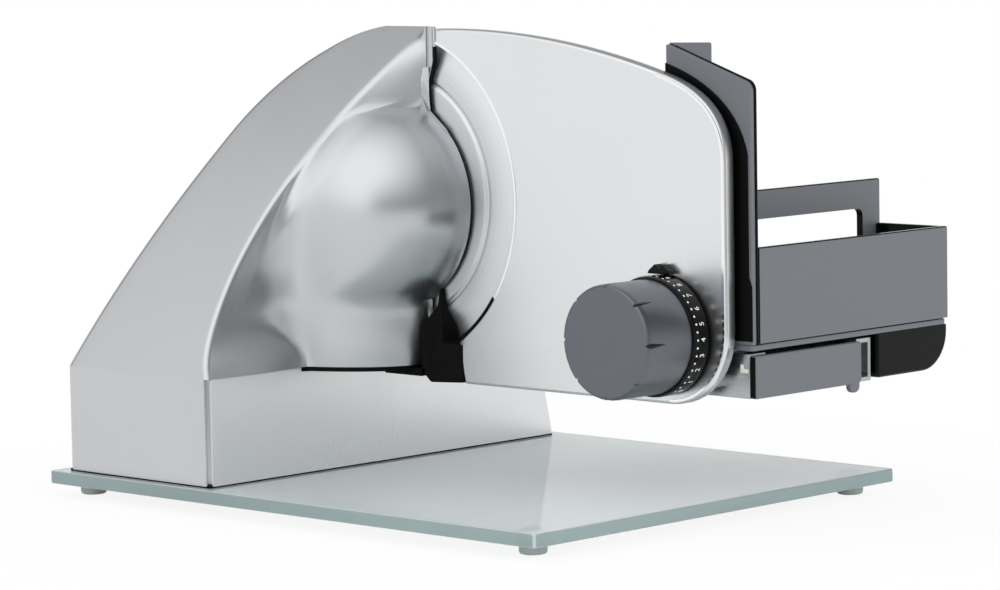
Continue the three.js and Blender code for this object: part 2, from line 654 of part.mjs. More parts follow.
const wheelBore = bar('y', wheelY - WHEEL_WIDTH, wheelY + WHEEL_WIDTH, 0, axisZ, SHAFT_RADIUS + FIT);
const wheel = alongY(gear, wheelY - WHEEL_WIDTH / 2, wheelY + WHEEL_WIDTH / 2).subtract(wheelBore);
add('worm_wheel', wheel, paint(0xd8d2c0, 0.5, 0));
const bushRing = (y0, y1) => turned(pipe(SHAFT_RADIUS + RUN, bushRadius, y0, y1), 0, axisZ, 32);
add('front_shaft_bush', bushRing(bracketY, bracketY + BRACKET_THICKNESS), brass());
add('rear_shaft_bush', bushRing(bulkheadY - BULKHEAD_THICKNESS - BUSH_PROUD, bulkheadY), brass());
const postX = -WHEEL_RADIUS - BRACKET_GAP - CUT;
const bracketBottom = wormZ + MOTOR_RADIUS + FLOOR_SHEET;
const bracketTop = bracketBottom + BRACKET_HEIGHT;
const bracketFace = bracketY + BRACKET_THICKNESS;
const bracketBar = block(postX - BRACKET_POST, bushRadius + WALL, bracketY, bracketFace,
  bracketBottom, bracketTop);
const bracketPost = block(postX - BRACKET_POST, postX, bracketY, bulkheadY - BULKHEAD_THICKNESS - FIT,
  bracketBottom, bracketTop);
const bracketBore = bar('y', bracketY - CUT, bracketFace + CUT, 0, axisZ, bushRadius + FIT, 32);
add('bearing_bracket', bracketBar.add(bracketPost).subtract(bracketBore), silver());

// Blade: flat body, bevelled outer band, sharp edge near the food-side face
let blade = turned([
  [BLADE_BORE_RADIUS, bladeY], [BLADE_BEVEL_RADIUS, bladeY], [BLADE_RADIUS, edgeY - BLADE_EDGE],
  [BLADE_RADIUS, edgeY], [BLADE_BORE_RADIUS, edgeY], [BLADE_BORE_RADIUS, bladeY],
], 0, axisZ, BLADE_FACETS);
const hubTop = edgeY + HUB_THICKNESS;
let hub = bar('y', edgeY, hubTop, 0, axisZ, HUB_RADIUS, 32);
for (let i = 0; i < 3; i++) {
  const angle = Math.PI / 2 + (i * 2 * Math.PI) / 3;
  const x = BLADE_SCREW_CIRCLE * Math.cos(angle);
  const z = axisZ + BLADE_SCREW_CIRCLE * Math.sin(angle);
  const hole = bar('y', bladeY - CUT, hubTop + CUT, x, z, BLADE_SCREW_RADIUS + FIT, 16);
  blade = blade.subtract(hole);
  hub = hub.subtract(hole);
  add(`blade_screw_${i + 1}`, bar('y', bladeY, hubTop, x, z, BLADE_SCREW_RADIUS, 16), steel());
}
add('blade', blade, steel());
add('blade_hub_cover', hub, steel());

// Black wedge that closes the lower end of the blade opening
const arcRadius = BLADE_RADIUS + PLATE_GAP;
const arcLow = axisZ - boxTop - PLATE_ARC_RISE;
const arcFoot = Math.sqrt(arcRadius ** 2 - arcLow ** 2);
const wedgeLeft = FLANGE_X - FLANGE_STEP + FIT;
const wedgeBottom = plateBottom - WEDGE_DROP;
const wedge = alongY(shapeOf([
  [wedgeLeft, wedgeBottom + WEDGE_CHAMFER], [wedgeLeft + WEDGE_CHAMFER, wedgeBottom],
  [arcFoot + PLATE_FOOT_STEP - WEDGE_PLATE_GAP, wedgeBottom],
  [arcFoot - WEDGE_PLATE_GAP, boxTop + PLATE_ARC_RISE],
  [wedgeLeft + WEDGE_SHOULDER_INSET, boxTop + WEDGE_SHOULDER_RISE],
  [wedgeLeft + WEDGE_TIP_INSET + WEDGE_TIP_WIDTH, boxTop + WEDGE_TIP_RISE],
  [wedgeLeft + WEDGE_TIP_INSET, boxTop + WEDGE_TIP_RISE],
  [wedgeLeft + WEDGE_NECK_INSET, boxTop + WEDGE_NECK_RISE], [wedgeLeft, boxTop + WEDGE_SIDE_RISE],
]), bulkheadY - WEDGE_DEPTH, bladeY - WEDGE_BLADE_GAP);
add('guard_wedge', wedge.subtract(tower(-FIT, boxTop - FIT, towerTop, bulkheadY + FIT)), blackPlastic());

// Stop plate: arc round the blade, gently curved top, rounded right corners
const arcLeft = FLANGE_X + PLATE_FLANGE_GAP;
const arcStart = Math.asin(-arcLow / arcRadius);
const arcEnd = Math.acos(arcLeft / arcRadius);
const shoulderX = plateRight - PLATE_SHOULDER_INSET;
const plate = new THREE.Shape();
plate.moveTo(arcFoot + PLATE_FOOT_STEP, plateBottom);
plate.lineTo(plateRight - PLATE_CORNER, plateBottom);
plate.absarc(plateRight - PLATE_CORNER, plateBottom + PLATE_CORNER, PLATE_CORNER, -Math.PI / 2, 0);
plate.lineTo(plateRight, topZ - PLATE_SIDE_DROP);
plate.quadraticCurveTo(plateRight, topZ - PLATE_PULL_DROP, shoulderX, topZ - PLATE_SHOULDER_DROP);
plate.quadraticCurveTo((shoulderX + arcLeft) / 2, topZ, arcLeft, topZ - PLATE_TOP_DROP);
plate.lineTo(arcLeft, axisZ + arcRadius * Math.sin(arcEnd));
plate.absarc(0, axisZ, arcRadius, arcEnd, arcStart, true);
const followerZ = knobZ - FOLLOWER_OFFSET;
const axleSeat = bar('y', plateFront - CUT, foodFaceY + CUT, knobX, knobZ, AXLE_RADIUS + FIT);
const followerHole = (y0, y1) => bar('y', y0, y1, knobX, followerZ, FOLLOWER_RADIUS + RUN);
add('stop_plate', alongY(plate, plateFront, foodFaceY, 20).subtract(axleSeat)
  .subtract(followerHole(plateFront - CUT, foodFaceY + CUT)), paint(0xd9dbdd, 0.35, 0.85));

// Guide rods of the stop plate, the block that they slide in and the fixed cam follower
const rodZ = deckTop + ROD_RISE;
const rodPlaces = [knobX + ROD_OFFSET - ROD_SPACING, knobX + ROD_OFFSET];
const guideLeft = rodPlaces[0] - GUIDE_END;
const guideRight = rodPlaces[1] + GUIDE_END;
const webBack = RAIL_FRONT + RAIL_SHEET;
const guideRear = RAIL_REAR - RAIL_SHEET - FIT;
const guideCore = block(guideLeft, guideRight, RAIL_FRONT + RAIL_WIDTH + FIT, RAIL_REAR - RAIL_WIDTH - FIT,
  deckTop + GUIDE_FOOT_GAP, railTop - RAIL_SHEET - GUIDE_FOOT_GAP);
let guide = guideCore.add(block(guideLeft, guideRight, webBack + FIT, guideRear,
  deckTop + RAIL_SHEET + FIT, railTop - RAIL_SHEET - FIT));
const webHoles = [followerHole(RAIL_FRONT - CUT, webBack + FIT)];
rodPlaces.forEach((x, i) => {
  const way = bar('y', RAIL_FRONT - CUT, guideRear - CUT, x, rodZ, ROD_RADIUS + RUN);
  guide = guide.subtract(way);
  webHoles.push(way);
  add(`guide_rod_${i + 1}`, bar('y', foodFaceY, foodFaceY + ROD_LENGTH, x, rodZ, ROD_RADIUS), steel());
});
add('guide_block', guide, silver());
const follower = bar('y', plateFront - FOLLOWER_REACH, webBack, knobX, followerZ, FOLLOWER_RADIUS, 16);
add('cam_follower', follower, steel());

// Knob, its axle, scale ring and index
const knobFront = plateFront - KNOB_LENGTH;
const knobBack = plateFront - KNOB_GAP;
const scaleFront = knobBack - SCALE_WIDTH;
const sleeve = KNOB_RADIUS - KNOB_SLEEVE_STEP;
const hollow = sleeve - KNOB_SLEEVE_WALL;
const axleBore = AXLE_RADIUS + RUN;
const boss = axleBore + KNOB_BOSS_WALL;
const innerFront = knobFront + KNOB_WALL;
let knob = turned([
  [0, knobFront], [KNOB_RADIUS - KNOB_EDGE, knobFront], [KNOB_RADIUS, knobFront + KNOB_EDGE],
  [KNOB_RADIUS, scaleFront], [sleeve, scaleFront], [sleeve, knobBack], [hollow, knobBack],
  [hollow, innerFront + CUT], [boss, innerFront + CUT], [boss, knobBack], [axleBore, knobBack],
  [axleBore, innerFront], [0, innerFront],
], knobX, knobZ, 48);
const notch = shapeOf([[-NOTCH_HALF_WIDTH, CUT], [0, -NOTCH_DEPTH], [NOTCH_HALF_WIDTH, CUT]]);
for (let i = 0; i < KNOB_NOTCHES; i++) {
  const cut = extruded(notch, NOTCH_LENGTH + CUT).rotateX(Math.PI / 2);
  cut.translate(0, knobFront + NOTCH_LENGTH, KNOB_RADIUS);
  cut.rotateY((i * 2 * Math.PI) / KNOB_NOTCHES);
  knob = knob.subtract(moved(cut, knobX, 0, knobZ));
}
add('thickness_knob', knob, paint(0x66696f, 0.5, 0));
const scaleRing = turned(pipe(sleeve + FIT, SCALE_RADIUS, scaleFront, knobBack), knobX, knobZ, 48);
add('scale_ring', scaleRing, blackPlastic());
add('knob_axle', bar('y', innerFront + FIT, foodFaceY, knobX, knobZ, AXLE_RADIUS), steel());
const indexZ = knobZ + SCALE_RADIUS + RUN;
add('scale_index', alongY(shapeOf([
  [knobX - INDEX_HALF_WIDTH, indexZ], [knobX + INDEX_HALF_WIDTH, indexZ],
  [knobX + INDEX_HALF_WIDTH, indexZ + INDEX_HEIGHT], [knobX, indexZ + INDEX_HEIGHT / 2],
  [knobX - INDEX_HALF_WIDTH, indexZ + INDEX_HEIGHT],
]), plateFront - INDEX_DEPTH, plateFront), blackPlastic());

// Rails of the carriage: channels that stand on the housing deck and reach out to the right
function rail(web, open) {
  const inner = web + open * RAIL_SHEET;
  const lip = web + open * RAIL_WIDTH;
  let solid = alongX(shapeOf([
    [web, deckTop], [lip, deckTop], [lip, deckTop + RAIL_SHEET], [inner, deckTop + RAIL_SHEET],
    [inner, railTop - RAIL_SHEET], [lip, railTop - RAIL_SHEET], [lip, railTop], [web, railTop],
  ]), railStart, railEnd);
  for (const [x, y] of screwPlaces) {
    solid = solid.subtract(bar('z', deckTop - CUT, deckTop + RAIL_SHEET + CUT, x, y, SCREW_RADIUS + FIT));
  }
  return solid;
}
add('front_rail', webHoles.reduce((solid, hole) => solid.subtract(hole), rail(RAIL_FRONT, 1)), steel());
add('rear_rail', rail(RAIL_REAR, -1), steel());
screwPlaces.forEach(([x, y], i) => {
  const seat = deckTop + RAIL_SHEET;
  const shank = bar('z', deckTop - SCREW_LENGTH, seat + SCREW_HEAD / 2, x, y, SCREW_RADIUS, 16);
  const head = bar('z', seat, seat + SCREW_HEAD, x, y, SCREW_HEAD_RADIUS, 16);
  add(`rail_screw_${i + 1}`, shank.add(head), steel());
});
add('rail_end_cap', block(railEnd, railEnd + END_CAP, RAIL_FRONT, RAIL_REAR - RAIL_WIDTH,
  deckTop, railTop - END_CAP_DROP), darkPlastic());

// Carriage floor and its stainless liner
const guardLeft = CARRIAGE_RIGHT - GUARD_WIDTH;
const guardRear = CARRIAGE_FRONT + GUARD_THICKNESS;
const finRear = guardRear + FIN_DEPTH;
const pusherX = CARRIAGE_RIGHT - POCKET_WIDTH - 2 * WALL_THICKNESS;
const pusherFront = finRear + PUSHER_GAP;
const linerTop = panTop + LINER_SHEET;
const linerRear = carriageRear - LINER_REAR_GAP;
const linerRise = panTop + LINER_LIP;
const panBlock = block(CARRIAGE_LEFT, CARRIAGE_RIGHT, CARRIAGE_FRONT, carriageRear, panBottom, panTop);
add('carriage_pan', panBlock, darkPlastic());
const linerFloor = block(CARRIAGE_LEFT, guardLeft - FIT, CARRIAGE_FRONT, linerRear, panTop, linerTop)
  .add(block(guardLeft - CUT, pusherX, pusherFront, linerRear, panTop, linerTop));
const linerWall = block(pusherX - LINER_SHEET, pusherX, pusherFront, linerRear, panTop, linerRise);
add('carriage_liner', linerFloor.add(linerWall), steel());

// Thumb guard with its fin
const guardTop = panTop + GUARD_HEIGHT;
const guardSide = guardTop - GUARD_DROP;
const guardShape = new THREE.Shape();
guardShape.moveTo(guardLeft, panTop).lineTo(CARRIAGE_RIGHT, panTop);
guardShape.lineTo(CARRIAGE_RIGHT, guardSide - GUARD_CORNER);
guardShape.quadraticCurveTo(CARRIAGE_RIGHT, guardSide,
  CARRIAGE_RIGHT - GUARD_CORNER, guardSide + GUARD_CORNER_RISE);
guardShape.lineTo(guardLeft, guardTop);
const fin = alongX(shapeOf([
  [guardRear - CUT, panTop], [finRear, panTop], [finRear, guardTop - FIN_DROP], [guardRear - CUT, guardTop],
]), guardLeft, guardLeft + WALL_THICKNESS);
add('thumb_guard', alongY(guardShape, CARRIAGE_FRONT, guardRear, 6).add(fin), darkPlastic());

// Pusher wall with its window, outer tray wall, rear skirt and glides
const pusherTop = panTop + PUSHER_HEIGHT;
const pusherBack = pusherX + WALL_THICKNESS;
const pusherWindow = block(pusherX - CUT, pusherBack + CUT, pusherFront + WINDOW_FRONT,
  carriageRear - WINDOW_REAR, panTop + WINDOW_SILL, pusherTop - WINDOW_HEAD);
const pusherBlock = block(pusherX, pusherBack, pusherFront, carriageRear, panTop, pusherTop);
add('pusher_wall', pusherBlock.subtract(pusherWindow), darkPlastic());
const trayTop = panTop + TRAY_HEIGHT;
const traySide = block(CARRIAGE_RIGHT - WALL_THICKNESS, CARRIAGE_RIGHT, guardRear + FIT, carriageRear,
  panTop, trayTop);
const trayRear = block(pusherBack + FIT, CARRIAGE_RIGHT, carriageRear - WALL_THICKNESS, carriageRear,
  panTop, trayTop);
add('outer_tray', traySide.add(trayRear), darkPlastic());
const skirtFront = RAIL_REAR + SKIRT_GAP;
const skirtBottom = panBottom - SKIRT_DROP;
const skirtBend = carriageRear - SKIRT_CORNER;
const skirt = new THREE.Shape();
skirt.moveTo(skirtFront, skirtBottom).lineTo(skirtBend, skirtBottom);
skirt.absarc(skirtBend, skirtBottom + SKIRT_CORNER, SKIRT_CORNER, -Math.PI / 2, 0);
skirt.lineTo(carriageRear, panBottom).lineTo(skirtFront, panBottom);
const skirtLeft = CARRIAGE_RIGHT - SKIRT_LENGTH;
add('rear_skirt', alongX(skirt, skirtLeft, CARRIAGE_RIGHT - SKIRT_INSET, 8), blackPlastic());
const glideRows = [
  ['front', RAIL_FRONT + GLIDE_EDGE, RAIL_FRONT + RAIL_WIDTH - GLIDE_EDGE],
  ['rear', RAIL_REAR - RAIL_WIDTH + GLIDE_EDGE, RAIL_REAR - GLIDE_EDGE],
];
const glideEnds = [
  ['left', CARRIAGE_LEFT + GLIDE_LEFT_INSET],
  ['right', CARRIAGE_RIGHT - GLIDE_RIGHT_INSET - GLIDE_LENGTH],
];
for (const [row, y0, y1] of glideRows) {
  for (const [end, x] of glideEnds) {
    const glide = block(x, x + GLIDE_LENGTH, y0, y1, railTop + FIT, panBottom);
    add(`glide_${row}_${end}`, glide, paint(0xe6e4dc, 0.5, 0));
  }
}

// On/off button, switch body and cord gland in the left side
const buttonEnd = leftX + WALL + SWITCH_TAIL;
const button = bar('x', leftX - SWITCH_REACH, buttonEnd, switchY, switchZ, SWITCH_RADIUS, 32);
add('switch_button', button, blackPlastic());
const switchX = buttonEnd + SWITCH_TRAVEL + FIT;
add('switch_body', block(switchX, switchX + SWITCH_BODY_LENGTH, switchY - SWITCH_BODY_HALF,
  switchY + SWITCH_BODY_HALF, floorTop, switchZ + SWITCH_BODY_HALF), blackPlastic());
const gland = pipe(GLAND_RADIUS - GLAND_WALL, GLAND_RADIUS, leftX - GLAND_REACH, leftX + WALL + GLAND_TAIL);
add('cord_gland', turnedX(gland, glandY, glandZ, 24), blackPlastic());

// Origin on the table, under the middle of the whole object
const box = new THREE.Box3().setFromObject(root);
const middle = box.getCenter(new THREE.Vector3());
root.children.forEach((mesh) => mesh.geometry.translate(-middle.x, -middle.y, -box.min.z));

export default root;
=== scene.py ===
# %% [markdown]
# A compact electric food slicer stands on a glass plate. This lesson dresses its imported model: every
# visible piece is modelled again with the roundings, seams and finish of the real one, and the hidden
# drive keeps its CAD shapes. The frame comes first, because every new piece is placed in it.

# %% Load the frame
import math
import bpy
from mathutils import Matrix, Vector


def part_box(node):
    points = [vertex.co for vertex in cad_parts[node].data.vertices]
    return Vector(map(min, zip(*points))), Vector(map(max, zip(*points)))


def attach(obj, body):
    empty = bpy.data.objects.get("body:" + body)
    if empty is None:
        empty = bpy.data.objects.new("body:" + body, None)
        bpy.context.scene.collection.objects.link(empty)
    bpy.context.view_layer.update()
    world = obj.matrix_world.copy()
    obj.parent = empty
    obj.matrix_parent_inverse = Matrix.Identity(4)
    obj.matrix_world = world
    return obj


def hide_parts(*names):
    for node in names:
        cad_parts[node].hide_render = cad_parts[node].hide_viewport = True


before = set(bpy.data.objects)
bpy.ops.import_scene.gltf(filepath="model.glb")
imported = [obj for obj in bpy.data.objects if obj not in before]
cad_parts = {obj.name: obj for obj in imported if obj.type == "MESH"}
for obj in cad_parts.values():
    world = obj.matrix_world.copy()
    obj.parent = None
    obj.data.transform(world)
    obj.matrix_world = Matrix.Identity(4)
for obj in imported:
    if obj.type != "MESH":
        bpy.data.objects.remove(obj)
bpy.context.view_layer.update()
MM = 0.001

# %% [markdown]
# A maker's drawing of a slicer measures from the blade: its axis is X = 0, its front lies about in Y = 0,
# and the table is Z = 0, all in millimetres. The frame has its origin under the middle of the object
# instead, so one helper turns a point of the drawing into a place in the frame.

# %% Drawing places
SHIFT_X = 46.75
SHIFT_Y = 20.0
# Height of the blade's axis above the table.
AXIS_Z = 159


def at(x, y, z):
    """A place in the frame, in metres, from millimetres in the drawing."""
    return Vector(((x - SHIFT_X) * MM, (y - SHIFT_Y) * MM, z * MM))


def drawn(place):
    """The opposite of at(): millimetres in the drawing."""
    return Vector((place.x / MM + SHIFT_X, place.y / MM + SHIFT_Y, place.z / MM))


blade_low, blade_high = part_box("blade")
print("blade in the drawing", drawn(blade_low), drawn(blade_high))

# %% [markdown]
# The camera stands low in front of the slicer, to the right of it, with a long lens: the edges of the
# glass plate and of the box hardly converge. Its place was worked out from those edges.

# %% Camera
CAMERA_PLACE = Vector((1.46465, -1.5188, 0.3153))
CAMERA_AZIMUTH = math.radians(43.82)
CAMERA_ELEVATION = math.radians(5.65)
CAMERA_ROLL = math.radians(-1.01)
back = Vector((
    math.sin(CAMERA_AZIMUTH) * math.cos(CAMERA_ELEVATION),
    -math.cos(CAMERA_AZIMUTH) * math.cos(CAMERA_ELEVATION),
    math.sin(CAMERA_ELEVATION),
))
level = Vector((math.cos(CAMERA_AZIMUTH), math.sin(CAMERA_AZIMUTH), 0))
upright = back.cross(level)
right = level * math.cos(CAMERA_ROLL) + upright * math.sin(CAMERA_ROLL)
above = upright * math.cos(CAMERA_ROLL) - level * math.sin(CAMERA_ROLL)
bpy.ops.object.camera_add()
camera = bpy.context.object
camera.data.sensor_width = 36
camera.data.lens = 143.8
camera.matrix_world = Matrix((
    (right.x, above.x, back.x, CAMERA_PLACE.x),
    (right.y, above.y, back.y, CAMERA_PLACE.y),
    (right.z, above.z, back.z, CAMERA_PLACE.z),
    (0, 0, 0, 1),
))
bpy.context.scene.camera = camera
print("camera", [round(v, 3) for v in CAMERA_PLACE])

# %% [markdown]
# Colours are written as the eye names them, in sRGB, and the shader wants them linear. One function
# turns them, and one adds a node with its settings and links, so that a material reads as a short list.
# Names of sockets start with a capital letter in Blender, and a node's own settings do not. The last
# few make a noise and let the colour, the gloss and the relief of a surface follow it.

# %% Colour and node helpers


def linear(colour):
    """Linear red, green, blue and alpha from a hex colour."""
    channels = []
    for start in (1, 3, 5):
        value = int(colour[start:start + 2], 16) / 255
        channels.append(value / 12.92 if value <= 0.04045 else ((value + 0.055) / 1.055) ** 2.4)
    return (*channels, 1.0)


def add_node(tree, kind, settings, links=None):
    """A new node: sockets and settings by name, then links from other sockets."""
    node = tree.nodes.new(kind)
    for key, value in settings.items():
        if isinstance(key, int) or key in node.inputs:
            node.inputs[key].default_value = value
        else:
            setattr(node, key, value)
    for key, source in (links or {}).items():
        tree.links.new(source, node.inputs[key])
    return node


def start_material(name, settings):
    """A material with its shader set, and the Object coordinates that its patterns read."""
    material = bpy.data.materials.new(name)
    material.use_nodes = True
    tree = material.node_tree
    shader = tree.nodes["Principled BSDF"]
    for key, value in settings.items():
        shader.inputs[key].default_value = value
    coordinates = add_node(tree, "ShaderNodeTexCoord", {})
    return material, tree, shader, coordinates.outputs["Object"]


def combined(tree, operation, first, second):
    """The sum, product or the like of two values, each a socket or a number."""
    node = add_node(tree, "ShaderNodeMath", {"operation": operation})
    for socket, value in zip(node.inputs, (first, second)):
        if isinstance(value, float):
            socket.default_value = value
        else:
            tree.links.new(value, socket)
    return node.outputs[0]


def noise(tree, place, size_mm, detail):
    """A noise whose spots have about the given size."""
    settings = {"Scale": 1 / (size_mm * MM), "Detail": detail}
    return add_node(tree, "ShaderNodeTexNoise", settings, {"Vector": place}).outputs["Fac"]


def set_colour(tree, shader, pattern, dark, light):
    """Lets the colour follow a pattern from dark to light, and returns the socket that gives it."""
    settings = {"data_type": "RGBA", 6: linear(dark), 7: linear(light)}
    tint = add_node(tree, "ShaderNodeMix", settings, {0: pattern})
    tree.links.new(tint.outputs[2], shader.inputs["Base Color"])
    return tint.outputs[2]


def set_gloss(tree, shader, pattern, low, high):
    """Lets the roughness follow the middle part of a pattern from low to high."""
    settings = {"From Min": 0.3, "From Max": 0.7, "To Min": low, "To Max": high}
    wander = add_node(tree, "ShaderNodeMapRange", settings, {"Value": pattern})
    tree.links.new(wander.outputs["Result"], shader.inputs["Roughness"])


def set_relief(tree, shader, pattern, strength, height_mm):
    """Lets the surface rise and fall with a pattern."""
    settings = {"Strength": strength, "Distance": height_mm * MM}
    bump = add_node(tree, "ShaderNodeBump", settings, {"Height": pattern})
    tree.links.new(bump.outputs["Normal"], shader.inputs["Normal"])


print("grey 128 is", round(linear("#808080")[0], 3), "linear")

# %% [markdown]
# Most surfaces here are sprayed, moulded or blasted: an even colour with slow, faint clouds in it, a
# gloss that wanders a little, and a fine grain that breaks up the highlight. The same three patterns
# serve them all, and each finish gives its own colours, gloss and grain size in millimetres.

# %% Grained finishes
METAL = {"Metallic": 1.0}


def grained(name, light, dark, gloss, grain_mm, grain_height_mm, cloud_mm, settings):
    """A finish with clouded colour, wandering gloss and a fine raised grain."""
    material, tree, shader, place = start_material(name, settings)
    cloud = noise(tree, place, cloud_mm, 3.0)
    set_colour(tree, shader, cloud, dark, light)
    set_gloss(tree, shader, cloud, *gloss)
    set_relief(tree, shader, noise(tree, place, grain_mm, 2.0), 0.5, grain_height_mm)
    return material


# Sprayed silver lacquer on die-cast aluminium: a soft metal sheen, no texture to feel.
lacquered_casting = grained("silver_lacquered_cast_aluminium", "#C8CACC", "#C2C4C7", (0.27, 0.33),
                            0.9, 0.004, 45, METAL)
# Blasted and anodised aluminium plate: paler than the lacquer. It is also laid on the right side of the box
# as painted light.
plate_finish_and_side_light = grained("satin_anodised_aluminium_and_painted_side_light", "#E3E5E6", "#DDDFE1", (0.26, 0.32),
                         0.8, 0.005, 60, METAL)
# Bright-turned edge of the same aluminium, nearly a mirror.
polished_edge = grained("bright_turned_aluminium", "#F3F4F5", "#ECEEEF", (0.12, 0.17),
                        0.5, 0.002, 20, METAL)
# Spark-eroded mould texture on dark grey ABS: broad, soft highlights.
dark_abs = grained("dark_grey_moulded_abs", "#686C71", "#63676C", (0.36, 0.46),
                   0.7, 0.02, 40, {"IOR": 1.53})
# The knob is the same plastic, sprayed with a dark metallic lacquer.
knob_abs = grained("grey_metallic_lacquered_abs", "#6C6F75", "#676A70", (0.3, 0.38),
                   0.6, 0.012, 25, {"Metallic": 0.9})
# Polished mould: deep black. Its mirror is held low, so that it stays black in a white room.
black_abs = grained("gloss_black_moulded_abs", "#08090B", "#050608", (0.14, 0.2),
                    1.2, 0.006, 30, {"IOR": 1.53, "Specular IOR Level": 0.12})
# Soft black rubber of the wedge: it swallows nearly all light. The same black makes the rim strip, and
# thin strips of it are painted shade in dark gaps and shadow lines.
black_rubber_and_painted_shade = grained("black_moulded_rubber_and_painted_shade", "#060607", "#040404", (0.5, 0.6),
                      0.8, 0.01, 15, {"IOR": 1.52, "Specular IOR Level": 0.09})
# Soft rubber pads, dusty and dull.
foot_rubber = grained("grey_moulded_rubber", "#AEB7B6", "#A4ADAC", (0.6, 0.75),
                      0.5, 0.03, 8, {"IOR": 1.52})
# Printed marks on the scale: flat white ink.
white_ink = grained("white_printing_ink", "#ECEDEB", "#E2E3E1", (0.45, 0.55),
                    0.4, 0.01, 5, {"IOR": 1.5})
# Nylon glide shoes: milky and waxy.
glide_nylon = grained("natural_moulded_nylon", "#E9E7DF", "#E0DED5", (0.4, 0.5),
                      0.6, 0.01, 10, {"IOR": 1.53})
# Acetal gear: ivory and smooth.
gear_acetal = grained("ivory_moulded_acetal", "#DCD6C4", "#D2CCB9", (0.32, 0.4),
                      0.6, 0.008, 12, {"IOR": 1.48})
# Turned bronze bushes.
bush_bronze = grained("turned_sintered_bronze", "#B48F4C", "#A5813F", (0.34, 0.44),
                      0.4, 0.01, 6, METAL)
# Sand-cast bracket and guide block, as cast.
raw_casting = grained("raw_cast_aluminium", "#BFC1C2", "#AFB1B3", (0.42, 0.55),
                      0.8, 0.03, 10, METAL)
# Zinc-plated steel of the screws and the motor can.
plated_steel = grained("zinc_plated_steel", "#C4C7C9", "#B2B6B9", (0.26, 0.36),
                       0.5, 0.01, 9, METAL)
print("grained finishes", len(bpy.data.materials))

# %% [markdown]
# Sheet steel is brushed by a belt, so its scratches are long in one direction and very fine across it.
# A noise squeezed by a Mapping node gives that. Real scratches are about 0.02 mm wide; these are drawn
# 0.4 mm wide, because finer ones would vanish between the pixels.

# %% Brushed sheet steel
SCRATCH_WIDTH_MM = 0.4


def brushed(name, light, dark, gloss, stretch):
    """Sheet metal with scratches along the direction whose stretch is small."""
    material, tree, shader, place = start_material(name, METAL)
    squeeze = add_node(tree, "ShaderNodeMapping", {"Scale": stretch}, {"Vector": place})
    scratches = noise(tree, squeeze.outputs["Vector"], SCRATCH_WIDTH_MM, 2.0)
    set_colour(tree, shader, scratches, dark, light)
    set_gloss(tree, shader, scratches, *gloss)
    set_relief(tree, shader, scratches, 0.25, 0.01)
    return material


# Belt-brushed along X on the rails and along Y on the liner: streaky grey with long highlights.
rail_steel = brushed("brushed_stainless_rail", "#C2C5C7", "#A9ADB0", (0.24, 0.36), (0.02, 1.0, 1.0))
liner_steel = brushed("brushed_stainless_sheet", "#C6C9CB", "#B0B4B7", (0.22, 0.34), (1.0, 0.02, 1.0))
print("brushed sheet", rail_steel.name, liner_steel.name)

# %% [markdown]
# The blade is ground on a turntable, so its marks run in circles. The distance from the blade's axis
# goes into a noise of one dimension, which makes fine rings. They are drawn about 1 mm apart, ten times
# coarser than the grindstone leaves them, so that they show as a faint shimmer.

# %% Ground blade steel
RING_SPACING_MM = 1.0
blade_steel, tree, shader, place = start_material("ground_stainless_blade", METAL)
hub_place = at(0, 0, AXIS_Z)
centred = add_node(tree, "ShaderNodeMapping", {
    "Location": (-hub_place.x, 0, -hub_place.z), "Scale": (1, 0, 1),
}, {"Vector": place})
radius = add_node(tree, "ShaderNodeVectorMath", {"operation": "LENGTH"}, {0: centred.outputs["Vector"]})
rings = add_node(tree, "ShaderNodeTexNoise", {
    "noise_dimensions": "1D", "Scale": 1 / (RING_SPACING_MM * MM), "Detail": 2.0,
}, {"W": radius.outputs["Value"]})
set_colour(tree, shader, rings.outputs["Fac"], "#C6C9CB", "#DADCDE")
set_gloss(tree, shader, rings.outputs["Fac"], 0.33, 0.41)
set_relief(tree, shader, rings.outputs["Fac"], 0.1, 0.005)
print("blade", blade_steel.name)

# %% [markdown]
# The base is float glass with polished edges. Iron in the glass makes it faintly green, most of all
# where the eye looks along it, so the rim gets a darker tint, found by how far a point is from the
# middle of the plate. The plate is milky, so only part of the light goes through. Slight clouds in its
# roughness stand for wiping marks.

# %% Float glass
SMEAR_MM = 30
TINT_START, TINT_END = 0.9965, 0.9985
glass_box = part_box("glass_base_plate")
glass_middle = (Vector(glass_box[0]) + Vector(glass_box[1])) / 2
glass_half = (Vector(glass_box[1]) - Vector(glass_box[0])) / 2
base_glass, tree, shader, place = start_material("green_tinted_float_glass", {
    "IOR": 1.52, "Transmission Weight": 0.4, "Specular IOR Level": 0.35,
})
smears = noise(tree, place, SMEAR_MM, 4.0)
inner_tint = set_colour(tree, shader, smears, "#E2EBEB", "#E8F0F0")
set_gloss(tree, shader, smears, 0.03, 0.07)
set_relief(tree, shader, smears, 0.05, 0.02)
from_middle = add_node(tree, "ShaderNodeVectorMath", {"operation": "SUBTRACT", 1: glass_middle}, {0: place})
distance = add_node(tree, "ShaderNodeVectorMath", {"operation": "ABSOLUTE"},
                    {0: from_middle.outputs["Vector"]})
outwards = add_node(tree, "ShaderNodeVectorMath", {"operation": "DIVIDE", 1: glass_half},
                    {0: distance.outputs["Vector"]})
sides = add_node(tree, "ShaderNodeSeparateXYZ", {}, {0: outwards.outputs["Vector"]})
furthest = combined(tree, "MAXIMUM", sides.outputs["X"], sides.outputs["Y"])
rim = add_node(tree, "ShaderNodeMapRange", {"From Min": TINT_START, "From Max": TINT_END},
               {"Value": furthest})
edged = add_node(tree, "ShaderNodeMix", {"data_type": "RGBA", 7: linear("#A9BDBD")},
                 {0: rim.outputs["Result"], 6: inner_tint})
tree.links.new(edged.outputs[2], shader.inputs["Base Color"])
print("glass", base_glass.name)

